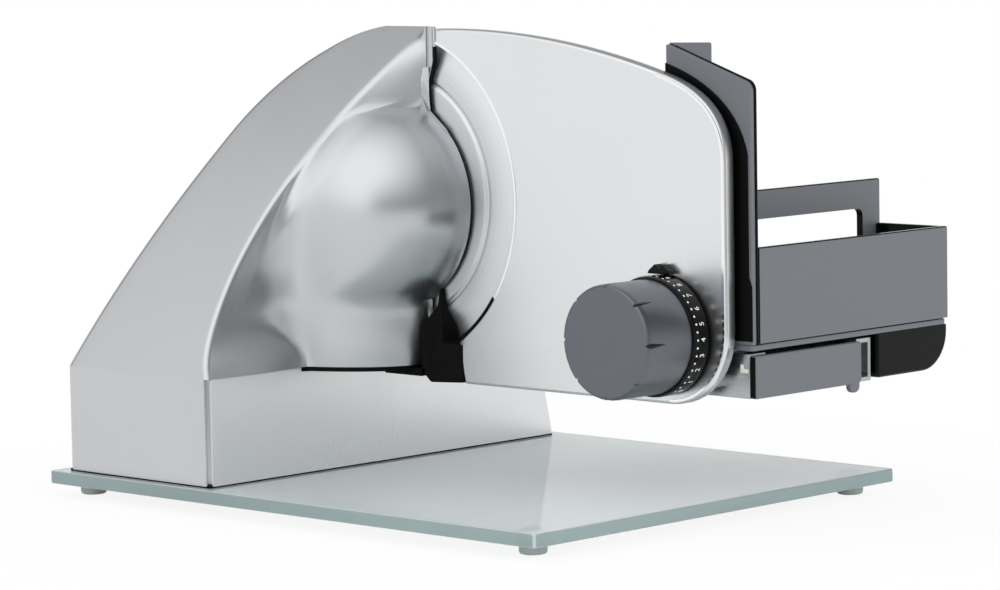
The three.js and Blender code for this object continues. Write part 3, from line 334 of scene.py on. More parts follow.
# %% [markdown]
# Every piece below is started, shaped and handed over in the same way. Operators act on everything that
# is selected, so a piece is made active alone first. At the end it gets its name, finish and body, its
# flat faces keep flat shading beside the roundings by weighted normals, and it hides the CAD nodes that
# it stands for. A few pieces show a second finish on some of their faces, which is painted on last.

# %% Helpers for every piece
MERGE_MM = 0.002


def make_active(piece):
    """Selects one piece alone and makes it the active one."""
    bpy.ops.object.select_all(action="DESELECT")
    piece.select_set(True)
    bpy.context.view_layer.objects.active = piece


def turn_faces_out(piece, merge=False):
    """Turns all faces outwards; points that fall on each other can be merged first."""
    make_active(piece)
    bpy.ops.object.mode_set(mode="EDIT")
    bpy.ops.mesh.select_all(action="SELECT")
    if merge:
        bpy.ops.mesh.remove_doubles(threshold=MERGE_MM * MM)
    bpy.ops.mesh.normals_make_consistent(inside=False)
    bpy.ops.object.mode_set(mode="OBJECT")


def apply_modifier(piece, kind, settings):
    """A modifier with its settings, applied at once."""
    make_active(piece)
    modifier = piece.modifiers.new(kind.lower(), kind)
    for key, value in settings.items():
        setattr(modifier, key, value)
    bpy.ops.object.modifier_apply(modifier=modifier.name)


def hand_over(piece, name, body, material, nodes=(), smooth=40):
    """Name, finish and body of a finished piece, and the CAD nodes that it stands for."""
    piece.name = name
    piece.data.name = name
    piece.data.materials.clear()
    piece.data.materials.append(material)
    make_active(piece)
    bpy.ops.object.shade_smooth_by_angle(angle=math.radians(smooth))
    apply_modifier(piece, "WEIGHTED_NORMAL", {"keep_sharp": True})
    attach(piece, body)
    if nodes:
        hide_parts(*nodes)
    print(name, len(piece.data.polygons), "faces")
    return piece


def paint_faces(piece, material, chosen):
    """Gives the chosen faces of a finished piece a second material."""
    piece.data.materials.append(material)
    faces = [face for face in piece.data.polygons if chosen(face)]
    for face in faces:
        face.material_index = len(piece.data.materials) - 1
    print(piece.name, len(faces), "faces in", material.name)


print("points closer than", MERGE_MM, "mm can be merged")

# %% [markdown]
# Sheets, plates and blocks are all an outline with a thickness. By hand one would drag the corners of a
# filled circle to the outline and extrude it; the helper does just that. Corners of the outline may be
# rounded by an arc, and sharp edges are bevelled afterwards in edit mode, where a test on the place of
# each edge can leave some of them sharp.

# %% Helpers for outlines and edges


def rounded(corners, steps=6):
    """An outline from corners (a, b, radius), each rounded by its radius."""
    outline = []
    for index, (a, b, radius) in enumerate(corners):
        here = Vector((a, b))
        if radius == 0:
            outline.append(here)
            continue
        before = (Vector(corners[index - 1][:2]) - here).normalized()
        after = (Vector(corners[(index + 1) % len(corners)][:2]) - here).normalized()
        half = before.angle(after) / 2
        centre = here + (before + after).normalized() * (radius / math.sin(half))
        first = here + before * (radius / math.tan(half)) - centre
        last = here + after * (radius / math.tan(half)) - centre
        sweep = math.pi - 2 * half
        for step in range(steps + 1):
            share = step / steps
            turn = first * math.sin((1 - share) * sweep) + last * math.sin(share * sweep)
            outline.append(centre + turn / math.sin(sweep))
    return outline


def outline_place(point, across, depth):
    """A point of an outline that is drawn across X, Y or Z, at a depth along that direction."""
    if across == "X":
        return at(depth, point[0], point[1])
    if across == "Y":
        return at(point[0], depth, point[1])
    return at(point[0], point[1], depth)


def plate_from(outline, across, low, high):
    """A closed plate: a filled circle dragged to the outline, then extruded from low to high."""
    bpy.ops.object.select_all(action="DESELECT")
    bpy.ops.mesh.primitive_circle_add(vertices=len(outline), radius=1, fill_type="NGON")
    piece = bpy.context.object
    for vertex, point in zip(piece.data.vertices, outline):
        vertex.co = outline_place(point, across, low)
    rise = outline_place((0, 0), across, high) - outline_place((0, 0), across, low)
    bpy.ops.object.mode_set(mode="EDIT")
    bpy.ops.mesh.select_all(action="SELECT")
    bpy.ops.mesh.extrude_region_move(TRANSFORM_OT_translate={"value": rise})
    bpy.ops.object.mode_set(mode="OBJECT")
    turn_faces_out(piece)
    return piece


def block_from(low, high):
    """A block between two corners of the drawing."""
    corners = [(low[0], low[1]), (high[0], low[1]), (high[0], high[1]), (low[0], high[1])]
    return plate_from(corners, "Z", low[2], high[2])


def bevel_edges(piece, width_mm, segments, wanted=None, angle=30):
    """Rounds the edges that are sharper than the angle and whose middle passes the test."""
    make_active(piece)
    mesh = piece.data
    beside = {}
    for face in mesh.polygons:
        for key in face.edge_keys:
            beside.setdefault(key, []).append(face.normal.copy())
    limit = math.cos(math.radians(angle))
    for group in (mesh.vertices, mesh.edges, mesh.polygons):
        for item in group:
            item.select = False
    for edge in mesh.edges:
        normals = beside.get(edge.key, ())
        if len(normals) != 2 or normals[0].dot(normals[1]) > limit:
            continue
        ends = [mesh.vertices[index].co for index in edge.vertices]
        if wanted is None or wanted(drawn((ends[0] + ends[1]) / 2)):
            edge.select = True
    bpy.context.tool_settings.mesh_select_mode = (False, True, False)
    bpy.ops.object.mode_set(mode="EDIT")
    bpy.ops.mesh.bevel(offset=width_mm * MM, segments=segments, profile=0.5, affect="EDGES",
                       clamp_overlap=True)
    bpy.ops.object.mode_set(mode="OBJECT")


def join(piece, *others):
    """Joins other meshes into a piece."""
    make_active(piece)
    for other in others:
        other.select_set(True)
    bpy.ops.object.join()
    return piece


print("a rounded square has", len(rounded([(0, 0, 1), (9, 0, 1), (9, 9, 1), (0, 9, 1)])), "points")

# %% [markdown]
# Round pieces are turned, as on a lathe: half a section is drawn beside the axis and spun once round it.
# The start and the end of the spin fall on each other, so doubles are merged, and then the normals are
# made to point outwards.

# %% Helper for turned pieces
ALONG_X = Vector((1, 0, 0))
ALONG_Y = Vector((0, 1, 0))
ALONG_Z = Vector((0, 0, 1))


def turned(profile, centre, axis, steps):
    """A piece spun from a closed profile of (radius, place along the axis) in millimetres."""
    bpy.ops.object.select_all(action="DESELECT")
    bpy.ops.mesh.primitive_circle_add(vertices=len(profile), radius=1)
    piece = bpy.context.object
    outward = ALONG_X if axis is ALONG_Z else ALONG_Z
    for vertex, (radius, along) in zip(piece.data.vertices, profile):
        vertex.co = centre + outward * radius * MM + axis * along * MM
    bpy.ops.object.mode_set(mode="EDIT")
    bpy.ops.mesh.select_all(action="SELECT")
    bpy.ops.mesh.spin(steps=steps, angle=math.tau, center=centre, axis=axis)
    bpy.ops.object.mode_set(mode="OBJECT")
    turn_faces_out(piece, merge=True)
    return piece


print("pieces can be turned about", [tuple(axis) for axis in (ALONG_X, ALONG_Y, ALONG_Z)])

# %% [markdown]
# The glass base is a cut plate with rounded corners and a polished arris. Its edge is what the eye
# notices, so the arris gets three segments on both faces.

# %% Glass base
GLASS_LEFT, GLASS_RIGHT = -146, 214
GLASS_FRONT, GLASS_REAR = -126, 152
GLASS_BOTTOM, GLASS_TOP = 6, 13
GLASS_CORNER = 3
glass = plate_from(rounded([
    (GLASS_LEFT, GLASS_FRONT, GLASS_CORNER), (GLASS_RIGHT, GLASS_FRONT, GLASS_CORNER),
    (GLASS_RIGHT, GLASS_REAR, GLASS_CORNER), (GLASS_LEFT, GLASS_REAR, GLASS_CORNER),
]), "Z", GLASS_BOTTOM, GLASS_TOP)
bevel_edges(glass, 0.9, 3, angle=60)
hand_over(glass, "polished_glass", "base", base_glass, ["glass_base_plate"])

# %% [markdown]
# A foot is a rubber pad with a stud that is glued into the glass. Its section is a short list, so each of
# the four is simply turned at its own corner.

# %% Feet
FOOT_INSET = 17
foot_left, foot_right = GLASS_LEFT + FOOT_INSET, GLASS_RIGHT - FOOT_INSET
foot_front, foot_rear = GLASS_FRONT + FOOT_INSET, GLASS_REAR - FOOT_INSET
FOOT_PROFILE = [
    (0, 0), (5.4, 0), (6.4, 0.3), (6.9, 1.1), (7, 2), (7, 4.6), (6.7, 5.5), (6, 6), (3, 6), (3, 11), (0, 11),
]
for name, x, y in (
    ("foot_front_left", foot_left, foot_front), ("foot_front_right", foot_right, foot_front),
    ("foot_rear_right", foot_right, foot_rear), ("foot_rear_left", foot_left, foot_rear),
):
    foot = turned(FOOT_PROFILE, at(x, y, 0), ALONG_Z, 40)
    hand_over(foot, "pad_" + name, "base", foot_rubber, [name])

# %% [markdown]
# The housing is one casting whose surface changes all the way up: a box below, then a roof that leans
# back to the blade, a straight left flank that runs into the round blade shroud, and on the right a cove
# and a dome for the gear. It is easiest to say what one level of it looks like, so these functions give
# the outline at a height, and the mesh is then a grid whose rows are those outlines.

# %% Levels of the housing
BOX_TOP, TOP_Z = 70, 250
LEFT_X, PANEL_X = -136, -23
FRONT_Y, FOOD_FACE = -120, 4
THIN_EDGE = 0.6
SHROUD_RADIUS = 91
ROOF_BULGE = 12
# The ridge is a curve with four control points in X and Z. Just above the box it is moved to the right.
RIDGE = [(-25, 70), (-39, 98), (-32, 180), (24, 250)]
RIDGE_MOVE, RIDGE_MOVE_HEIGHT = 2, 16
HALVINGS = 30
RIM_RADIUS, RIM_Z, RIM_Y = 55.5, 155.6, -3
WAIST_X, WAIST_LOW, WAIST_HIGH = 25, 204, 211
FOOT_X = 26
# The flat strip above the dome: its least width, where it starts to widen, how fast and how far.
STRIP_WIDTH, STRIP_START, STRIP_SLOPE, STRIP_END = 1.4, 217, 0.32, 31.0


def flank_x(z):
    """Left side: a straight flank that touches the shroud circle."""
    drop_x, drop_z = LEFT_X, BOX_TOP - AXIS_Z
    angle = math.atan2(drop_z, drop_x) - math.acos(SHROUD_RADIUS / math.hypot(drop_x, drop_z))
    touch_x, touch_z = SHROUD_RADIUS * math.cos(angle), AXIS_Z + SHROUD_RADIUS * math.sin(angle)
    if z < touch_z:
        return LEFT_X + (z - BOX_TOP) / (touch_z - BOX_TOP) * (touch_x - LEFT_X)
    return -math.sqrt(max(SHROUD_RADIUS ** 2 - (z - AXIS_Z) ** 2, 0))


def roof_y(z):
    """Front of the roof: a crowned slope from the box front to the food side."""
    share = (z - BOX_TOP) / (TOP_Z - BOX_TOP)
    crowned = FRONT_Y + share * (FOOD_FACE - FRONT_Y) - 4 * ROOF_BULGE * share * (1 - share)
    return min(crowned, FOOD_FACE - THIN_EDGE)


def ridge_point(t):
    """The ridge between roof and cove, a curve in X and Z."""
    weights = [(1 - t) ** 3, 3 * t * (1 - t) ** 2, 3 * t * t * (1 - t), t ** 3]
    return [sum(w * p[k] for w, p in zip(weights, RIDGE)) for k in (0, 1)]


def ridge_x(z):
    """X of the ridge at a height, level with the drive side panel where it leaves the box."""
    low, high = 0.0, 1.0
    for _ in range(HALVINGS):
        middle = (low + high) / 2
        low, high = (middle, high) if ridge_point(middle)[1] < z else (low, middle)
    blend = max(0.0, 1 - (z - BOX_TOP) / RIDGE_MOVE_HEIGHT)
    return ridge_point(low)[0] + RIDGE_MOVE * blend * blend


def rim_x(z):
    """Right edge of the dome: a circle round the blade, with straight ends above and below."""
    drop = abs(z - RIM_Z)
    circle = math.sqrt(RIM_RADIUS ** 2 - drop ** 2) if drop < RIM_RADIUS else 0
    return max(circle, WAIST_X if z > RIM_Z else FOOT_X)


def flange_x(z):
    """Right edge of the flat strip above the dome, which widens up to the stop plate."""
    widening = max(z - STRIP_START, 0) * STRIP_SLOPE
    return min(max(rim_x(z), WAIST_X + STRIP_WIDTH) + widening, STRIP_END)


print("ridge at the box top", round(ridge_x(BOX_TOP), 1), "and at the blade axis", round(ridge_x(AXIS_Z), 1))

# %% [markdown]
# The dome is about half a ball, set just below the blade axis. Lower down it leans to the left like an egg
# and ends as an upright barrel on the box, because the gear behind it sits lower and further left. One
# level of it runs from the ridge along the wall into a soft valley, then over the dome to its rim. Higher
# up the wall turns into a flat facet that leans on the ball.

# %% Section of the dome
FOOT_AXIS_X, FOOT_RIGHT, FOOT_DEPTH, FOOT_SLOPE = -50, 21, 49, 0.1
EGG_POWER = 1.3
MELT = 8
# Below its middle the rim's circle is drawn in a little, over this height.
NECK, NECK_HEIGHT = 2, 26
# The wall leaves the plane of the side cover between two heights, and the ridge between two others.
WALL_MOVE, WALL_LOW, WALL_HIGH = 5.6, 71, 96
RIDGE_GAP, GAP_LOW, GAP_HIGH = 4, 100, 150
# Between these heights the valley moves from the end of the wall to the end of the facet.
FACET_LOW, FACET_HIGH = AXIS_Z + 6, AXIS_Z + 40
# Corners are softened over this length at the foot, and over more of it on the ball.
SOFT_FOOT, SOFT_MORE, SOFT_LOW, SOFT_HIGH = 4, 15, 75, 105
# A level is probed and drawn in steps, made even, and then cut into the points of the mesh.
PROBES, WALL_STEPS, DOME_STEPS, FADE_STEPS, LINE_POINTS = 120, 30, 100, 12, 240
WALL_POINTS, DOME_POINTS = 20, 56
VALLEY_LIMIT = 0.6
RIDGE_ROUND = 3.2


def smooth_step(value, low, high):
    """0 below low, 1 above high, and a soft start and end between them."""
    share = min(max((value - low) / (high - low), 0), 1)
    return share * share * (3 - 2 * share)


def dome_right(z):
    """Right end of the lower dome: the rim's circle, melted into the side of the foot."""
    circle = math.sqrt(max(RIM_RADIUS ** 2 - (z - RIM_Z) ** 2, 0))
    circle -= NECK * smooth_step(RIM_Z - z, 0, NECK_HEIGHT)
    foot = FOOT_RIGHT + (z - BOX_TOP) * FOOT_SLOPE
    overlap = max(MELT - abs(circle - foot), 0) / MELT
    return max(circle, foot) + overlap * overlap * MELT / 4


def dome_y(x, z):
    """Front of the dome at a place, or the rim's plane beside it."""
    if z > RIM_Z:
        return RIM_Y - math.sqrt(max(RIM_RADIUS ** 2 - x ** 2 - (z - RIM_Z) ** 2, 0))
    share = ((RIM_Z - z) / (RIM_Z - BOX_TOP)) ** EGG_POWER
    axis_x = FOOT_AXIS_X * share
    depth = RIM_RADIUS + (FOOT_DEPTH - RIM_RADIUS) * share
    reach = dome_right(z) - axis_x if x > axis_x else RIM_RADIUS
    return RIM_Y - depth * math.sqrt(max(1 - ((x - axis_x) / reach) ** 2, 0))


def wall_x(z):
    """X of the wall where it meets the dome; it starts in the plane of the side cover."""
    from_cover = PANEL_X - WALL_MOVE * smooth_step(z, WALL_LOW, WALL_HIGH)
    return max(from_cover, ridge_x(z) + RIDGE_GAP * smooth_step(z, GAP_LOW, GAP_HIGH))


def even_spacing(points, count):
    """The same line with evenly spaced points."""
    lengths = [0.0]
    for first, second in zip(points, points[1:]):
        lengths.append(lengths[-1] + (second - first).length)
    even = []
    place = 0
    for step in range(count):
        wanted = lengths[-1] * step / (count - 1)
        while place < len(points) - 2 and lengths[place + 1] < wanted:
            place += 1
        gap = lengths[place + 1] - lengths[place]
        share = (wanted - lengths[place]) / gap if gap > 0 else 0
        even.append(points[place].lerp(points[place + 1], min(share, 1)))
    return even, lengths[-1]


def softened(points, length, softness):
    """Evens out corners over a few millimetres; the ends stay."""
    reach = max(1, int(softness / (length / (len(points) - 1))))
    for _ in range(2):
        soft = []
        for index in range(len(points)):
            span = min(reach, index, len(points) - 1 - index)
            window = points[index - span:index + span + 1]
            soft.append(sum(window, Vector((0, 0))) / len(window))
        points = soft
    return points


def dome_section(z, count, skip):
    """Points of one level from just below the ridge to the rim."""
    corner = Vector((ridge_x(z), roof_y(z)))
    rim = Vector((rim_x(z), max(RIM_Y, roof_y(z))))
    run, rise = rim.x - corner.x, rim.y - corner.y
    places = [corner.x + run * step / PROBES for step in range(PROBES + 1)]
    ahead = [x for x in places if dome_y(x, z) < corner.y + rise * (x - corner.x) / run]
    facet_end = Vector((ahead[0], dome_y(ahead[0], z))) if ahead else rim
    wall_end = Vector((wall_x(z), max(dome_y(wall_x(z), z), corner.y)))
    valley = wall_end.lerp(facet_end, smooth_step(z, FACET_LOW, FACET_HIGH))
    line = [corner.lerp(valley, step / WALL_STEPS) for step in range(WALL_STEPS + 1)]
    if valley.x < rim.x - 0.5:
        for step in range(1, DOME_STEPS + 1):
            share = math.sin(step / DOME_STEPS * math.pi / 2)
            x = valley.x + (rim.x - valley.x) * share
            fade = max(0, 1 - step / FADE_STEPS)
            y = dome_y(x, z) * (1 - fade) + valley.y * fade
            line.append(Vector((x, min(y, rim.y))))
    even, length = even_spacing(line, LINE_POINTS)
    soft = softened(even, length, SOFT_FOOT + SOFT_MORE * smooth_step(z, SOFT_LOW, SOFT_HIGH))
    last = LINE_POINTS - 1
    start = int(skip / (length / last))
    valley_share = min((valley - corner).length / length, VALLEY_LIMIT)
    middle = max(int(last * valley_share), start + WALL_POINTS)
    wall = even_spacing(soft[start:middle + 1], WALL_POINTS)[0]
    return wall + even_spacing(soft[middle:], count - WALL_POINTS + 1)[0][1:]


axis_section = dome_section(AXIS_Z, DOME_POINTS, RIDGE_ROUND)
print("valley at the blade axis", [round(v, 1) for v in axis_section[WALL_POINTS]])

# %% [markdown]
# One row of the grid runs from the rear of the left side round the front to the dome's rim. Below the
# box top the right side is a flat cover, and a deep groove parts it from the front: that dark line at
# the corner is one of the first things seen. Above, the same points round off the ridge.

# %% Rows of the housing
LEFT_POINTS, CORNER_POINTS, FRONT_POINTS = 4, 6, 9
CORNER_ROUND, CORNER_SHARE = 5.0, 0.4
GROOVE = [(-27.2, -120), (-26.4, -119.8), (-26.0, -119.2), (-28.0, -116.9), (-27.2, -116.0), (-26.3, -115.4),
          (-24.0, -117.6), (-23.3, -117.3), (-23, -116.4)]
GROOVE_STOP = 0.5
# The turned-in lip at the dome's rim, in steps of X and Y from the end of the dome.
RIM_LIP = [(0, 0.15), (-0.05, 0.3), (-0.15, 0.45), (-0.3, 0.6), (-1.2, 0.7)]


def bend(first, corner, last, count):
    """Points of a soft corner between two ends."""
    points = []
    for step in range(count):
        t = step / (count - 1)
        points.append(first * (1 - t) ** 2 + corner * 2 * t * (1 - t) + last * t * t)
    return points


def rim_points(z, rim):
    """The end of a row: a thin turned-in lip below the waist, a step and a flat strip above it."""
    edge = flange_x(z) - rim.x
    strip = [(0.2, 0.7), (0.6, 1.0), (edge - 0.5, 1.0), (edge, 1.5), (edge - 0.9, 2.2)]
    share = smooth_step(z, WAIST_LOW, WAIST_HIGH)
    points = []
    for (lip_x, lip_y), (strip_x, strip_y) in zip(RIM_LIP, strip):
        x = rim.x + lip_x + (strip_x - lip_x) * share
        y = rim.y + lip_y + (strip_y - lip_y) * share
        points.append(Vector((x, min(y, FOOD_FACE - 0.1))))
    return points


def housing_row(z, boxed):
    """Outline of one level; boxed levels have the flat cover on the right instead of the dome."""
    height = max(z, BOX_TOP)
    left = flank_x(height)
    front = roof_y(height)
    corner = min(CORNER_ROUND, (FOOD_FACE - front) * CORNER_SHARE)
    row = []
    for step in range(LEFT_POINTS):
        row.append(Vector((left, FOOD_FACE + (front + corner - FOOD_FACE) * step / LEFT_POINTS)))
    side_end = Vector((left, front + corner))
    front_start = Vector((left + corner, front))
    row += bend(side_end, Vector((left, front)), front_start, CORNER_POINTS)
    ridge = max(ridge_x(height), left + corner + RIDGE_ROUND + 1)
    dome = dome_section(height, DOME_POINTS, RIDGE_ROUND)
    round_end = ridge - RIDGE_ROUND
    groove = boxed and z < BOX_TOP - GROOVE_STOP
    front_end = GROOVE[0][0] if groove else round_end
    for step in range(1, FRONT_POINTS):
        row.append(Vector((left + corner + (front_end - left - corner) * step / FRONT_POINTS, front)))
    if groove:
        row += [Vector(point) for point in GROOVE]
    else:
        row += bend(Vector((round_end, front)), Vector((ridge, front)), dome[0], len(GROOVE))
    if boxed:
        row += [Vector((PANEL_X, point.y)) for point in dome[1:]]
        row += [Vector((PANEL_X, y)) for y in (0, 1, 2, 3, FOOD_FACE)]
    else:
        row += dome[1:]
        row += rim_points(z, dome[-1])
    return row


print("points in a row", len(housing_row(100, False)))

# %% [markdown]
# The grid primitive has one vertex for each point, so it is only dragged into place. A Solidify modifier
# then gives the casting its wall. The rear of the box, under the carriage, is a plain block with a
# leaning back wall, joined to it; its edges are rounded except where it meets the casting. The flat side
# cover is the same lacquer, but its faces get the paler plate finish as painted light, for the brighter
# light that falls on that side.

# %% Housing casting
SHADOW_GAP = 0.9
CASTING_WALL = 2
TOWER_LOW, TOWER_HIGH, TOWER_ROWS = BOX_TOP + 0.4, TOP_Z - 0.6, 56
BOX_LEVELS = (GLASS_TOP + SHADOW_GAP, 30, 48, 62, 69.4, BOX_TOP)
levels = [(z, True) for z in BOX_LEVELS]
for step in range(TOWER_ROWS + 1):
    share = math.sin(step / TOWER_ROWS * math.pi / 2)
    levels.append((TOWER_LOW + (TOWER_HIGH - TOWER_LOW) * share, False))
rows = [housing_row(z, boxed) for z, boxed in levels]
bpy.ops.object.select_all(action="DESELECT")
bpy.ops.mesh.primitive_grid_add(x_subdivisions=len(rows[0]) - 1, y_subdivisions=len(rows) - 1, size=1)
casting = bpy.context.object
vertices = iter(casting.data.vertices)
for (z, _), row in zip(levels, rows):
    for point in row:
        next(vertices).co = at(point.x, point.y, z)
turn_faces_out(casting)
front_middle = at(-80, FRONT_Y, 40)
nearest = min(casting.data.polygons, key=lambda face: (face.center - front_middle).length)
if nearest.normal.y > 0:
    casting.data.flip_normals()
apply_modifier(casting, "SOLIDIFY", {"thickness": CASTING_WALL * MM, "offset": -1.0})
REAR_Y, REAR_LEAN, DECK_TOP = 142, 0.222, 66
OVERLAP = 0.05
rear_top = REAR_Y - (DECK_TOP - GLASS_TOP) * REAR_LEAN
rear_box = plate_from([
    (FOOD_FACE - OVERLAP, GLASS_TOP + SHADOW_GAP), (REAR_Y, GLASS_TOP + SHADOW_GAP),
    (rear_top, DECK_TOP), (FOOD_FACE - OVERLAP, DECK_TOP),
], "X", LEFT_X, PANEL_X)
bevel_edges(rear_box, 2.0, 4, lambda middle: middle.y > FOOD_FACE + 1 and middle.z > GLASS_TOP + 5)
join(casting, rear_box)
hand_over(casting, "housing_casting", "base", lacquered_casting,
          ["housing_shell", "gear_dome", "drive_side_panel"], smooth=32)
# Painted light: the side cover is the same lacquer; its paler faces stand for the brighter light on that
# side.
paint_faces(casting, plate_finish_and_side_light, lambda face: face.normal.x > 0.9 and face.center.z < BOX_TOP * MM)

# %% [markdown]
# Under the casting lies a thin black strip, painted shade for the shadow line where it meets the glass,
# and another lies under the foot of the dome for the shadow there. Both are seen only as thin dark lines,
# but without them the housing would look glued to the glass.

# %% Painted shade lines
SHADE_LINE_INSET = 0.5
FOOT_LINE_POINTS = 60
dome_front = RIM_Y - FOOT_DEPTH - 4
# Painted shade: a black strip in the shadow gap between the casting and the glass.
base_shade_piece = plate_from([
    (LEFT_X + SHADE_LINE_INSET, FRONT_Y + SHADE_LINE_INSET), (PANEL_X - SHADE_LINE_INSET, FRONT_Y + SHADE_LINE_INSET),
    (PANEL_X - SHADE_LINE_INSET, REAR_Y - SHADE_LINE_INSET), (LEFT_X + SHADE_LINE_INSET, REAR_Y - SHADE_LINE_INSET),
], "Z", GLASS_TOP + 0.05, GLASS_TOP + SHADOW_GAP + 0.4)
bevel_edges(base_shade_piece, 0.2, 2)
hand_over(base_shade_piece, "base_shade_line", "base", black_rubber_and_painted_shade)
foot_line = dome_section(TOWER_LOW, FOOT_LINE_POINTS, RIDGE_ROUND)
foot_line = [point for point in foot_line if point.y > dome_front]
# Painted shade: a black strip in the shadow under the dome's foot.
foot_shade_line = plate_from([(PANEL_X - 1, FOOD_FACE - 5), (PANEL_X - 1, foot_line[0].y), *foot_line], "Z",
                         BOX_TOP - 2, BOX_TOP + 0.5)
bevel_edges(foot_shade_line, 0.3, 2, angle=60)
hand_over(foot_shade_line, "foot_shade_line", "base", black_rubber_and_painted_shade)

# %% [markdown]
# The blade is a ground disc: a flat body, a shallow groove and a long hollow-ground bevel that ends in
# the edge. The hub cover on the food side is held by three small socket screws.

# %% Blade, hub cover and screws
blade_centre = at(0, 0, AXIS_Z)
BLADE_PROFILE = [
    (5.5, 1.8), (42, 1.8), (44, -0.7), (63, -0.7), (64.2, -0.5), (65.4, 0.4), (66.2, 0.5), (67.2, 0.2),
    (69, 0.1), (74, 0.5), (79, 1.35), (84.9, 3.05), (85, 3.2), (84.8, 3.3), (5.5, 3.3),
]
blade = turned(BLADE_PROFILE, blade_centre, ALONG_Y, 160)
hand_over(blade, "ground_blade", "blade_unit", blade_steel, ["blade"], smooth=12)
HUB_PROFILE = [
    (0, 3.3), (21, 3.3), (21, 3.9), (20.8, 4.15), (20.3, 4.3), (17.5, 4.3), (17, 4.05), (9, 4.05),
    (8.5, 4.3), (0, 4.3),
]
hub = turned(HUB_PROFILE, blade_centre, ALONG_Y, 80)
hand_over(hub, "hub_disc", "blade_unit", blade_steel, ["blade_hub_cover"], smooth=25)
SCREW_CIRCLE = 13
SCREW_PROFILE = [
    (0, 1.8), (2, 1.8), (2, 4.2), (1.85, 4.4), (1.15, 4.4), (1.05, 4.25), (1.0, 3.3), (0, 3.3),
]
for number in (1, 2, 3):
    angle = math.pi / 2 + (number - 1) * math.tau / 3
    screw_centre = at(SCREW_CIRCLE * math.cos(angle), 0, AXIS_Z + SCREW_CIRCLE * math.sin(angle))
    screw = turned(SCREW_PROFILE, screw_centre, ALONG_Y, 24)
    hand_over(screw, f"hub_screw_{number}", "blade_unit", plated_steel,
              [f"blade_screw_{number}"])

# %% [markdown]
# Between the dome's rim and the blade runs a thin black strip that follows the casting's edge from the
# wedge up to the stop plate. Its outline is the rim itself and the same line set inwards, extruded
# towards the blade.

# %% Rim strip
RIM_LINE_LOW, RIM_LINE_HIGH, RIM_LINE_WIDTH, RIM_LINE_STEPS = 110, 239, 1.5, 70
rim_line_heights = [RIM_LINE_LOW + (RIM_LINE_HIGH - RIM_LINE_LOW) * step / RIM_LINE_STEPS for step in range(RIM_LINE_STEPS + 1)]
outer_line = [(flange_x(z) + 0.2, z) for z in rim_line_heights]
inner_line = [(flange_x(z) - RIM_LINE_WIDTH, z) for z in reversed(rim_line_heights)]
rim_strip = plate_from(outer_line + inner_line, "Y", RIM_Y + 0.4, RIM_Y + 1.9)
bevel_edges(rim_strip, 0.3, 2, angle=50)
hand_over(rim_strip, "rim_black_strip", "base", black_rubber_and_painted_shade)

# %% [markdown]
# A black wedge closes the lower end of the blade opening. A black bar runs from it to the left under the
# dome's foot: painted shade for the shadow under the dome's overhang. The wedge's outline is drawn in the
# plane of the blade and extruded forwards; the front then leans back towards the tip and towards the right.

# %% Guard wedge
WEDGE_FRONT, WEDGE_TAPER = -11, 8
wedge = plate_from([
    (25.2, 67.5), (31.4, 62), (48.4, 62), (48.4, 82), (41, 83.5), (40.4, 92), (34.5, 101), (33.4, 111),
    (31.6, 111), (30.6, 102), (25.4, 92),
], "Y", WEDGE_FRONT, 0.8)
for vertex in wedge.data.vertices:
    place = drawn(vertex.co)
    if place.y < -1:
        share = max(smooth_step(place.z, 90, 106), smooth_step(place.x, 40.6, 47))
        vertex.co = at(place.x, WEDGE_FRONT + WEDGE_TAPER * share, place.z)
bevel_edges(wedge, 0.9, 3)
# Painted shade: the black bar stands for the shadow under the dome's foot.
overhang_shade_bar = block_from((-1, -13, 65), (27, -3.5, 69.2))
bevel_edges(overhang_shade_bar, 0.8, 2)
join(wedge, overhang_shade_bar)
hand_over(wedge, "black_wedge", "base", black_rubber_and_painted_shade, ["guard_wedge"])

# %% [markdown]
# The stop plate decides how thick a slice gets. It is a thick aluminium plate with an arc round the blade,
# a gently curved top and rounded, polished edges. The outline follows arcs and two soft curves; the
# front edges get a wide rounding, the back ones a narrow one.

# %% Stop plate
PLATE_FRONT, PLATE_RIGHT, PLATE_BOTTOM, PLATE_CORNER = -3, 231, 61.5, 38
ARC_RADIUS, ARC_LEFT, ARC_DROP, ARC_GAP = 87, 31.5, 75, 5
# Down from the top: the end of the straight side, the pull of its bend, the shoulder and the left end.
SIDE_DOWN, BEND_DOWN, SHOULDER_DOWN, LEFT_DOWN = 65, 33, 21.5, 1.6
SHOULDER_IN = 44
CORNER_STEPS, SIDE_STEPS, TOP_STEPS, ARC_STEPS = 12, 16, 20, 48
arc_start = math.asin(-ARC_DROP / ARC_RADIUS)
arc_end = math.acos(ARC_LEFT / ARC_RADIUS)
plate_outline = [Vector((ARC_RADIUS * math.cos(arc_start) + ARC_GAP, PLATE_BOTTOM))]
for step in range(CORNER_STEPS + 1):
    turn = -math.pi / 2 + step / CORNER_STEPS * math.pi / 2
    x = PLATE_RIGHT - PLATE_CORNER + PLATE_CORNER * math.cos(turn)
    plate_outline.append(Vector((x, PLATE_BOTTOM + PLATE_CORNER + PLATE_CORNER * math.sin(turn))))
shoulder = Vector((PLATE_RIGHT - SHOULDER_IN, TOP_Z - SHOULDER_DOWN))
side_end = Vector((PLATE_RIGHT, TOP_Z - SIDE_DOWN))
plate_outline += bend(side_end, Vector((PLATE_RIGHT, TOP_Z - BEND_DOWN)), shoulder, SIDE_STEPS)
plate_top = Vector((ARC_LEFT, TOP_Z - LEFT_DOWN))
plate_outline += bend(shoulder, Vector(((shoulder.x + ARC_LEFT) / 2, TOP_Z)), plate_top, TOP_STEPS)[1:]
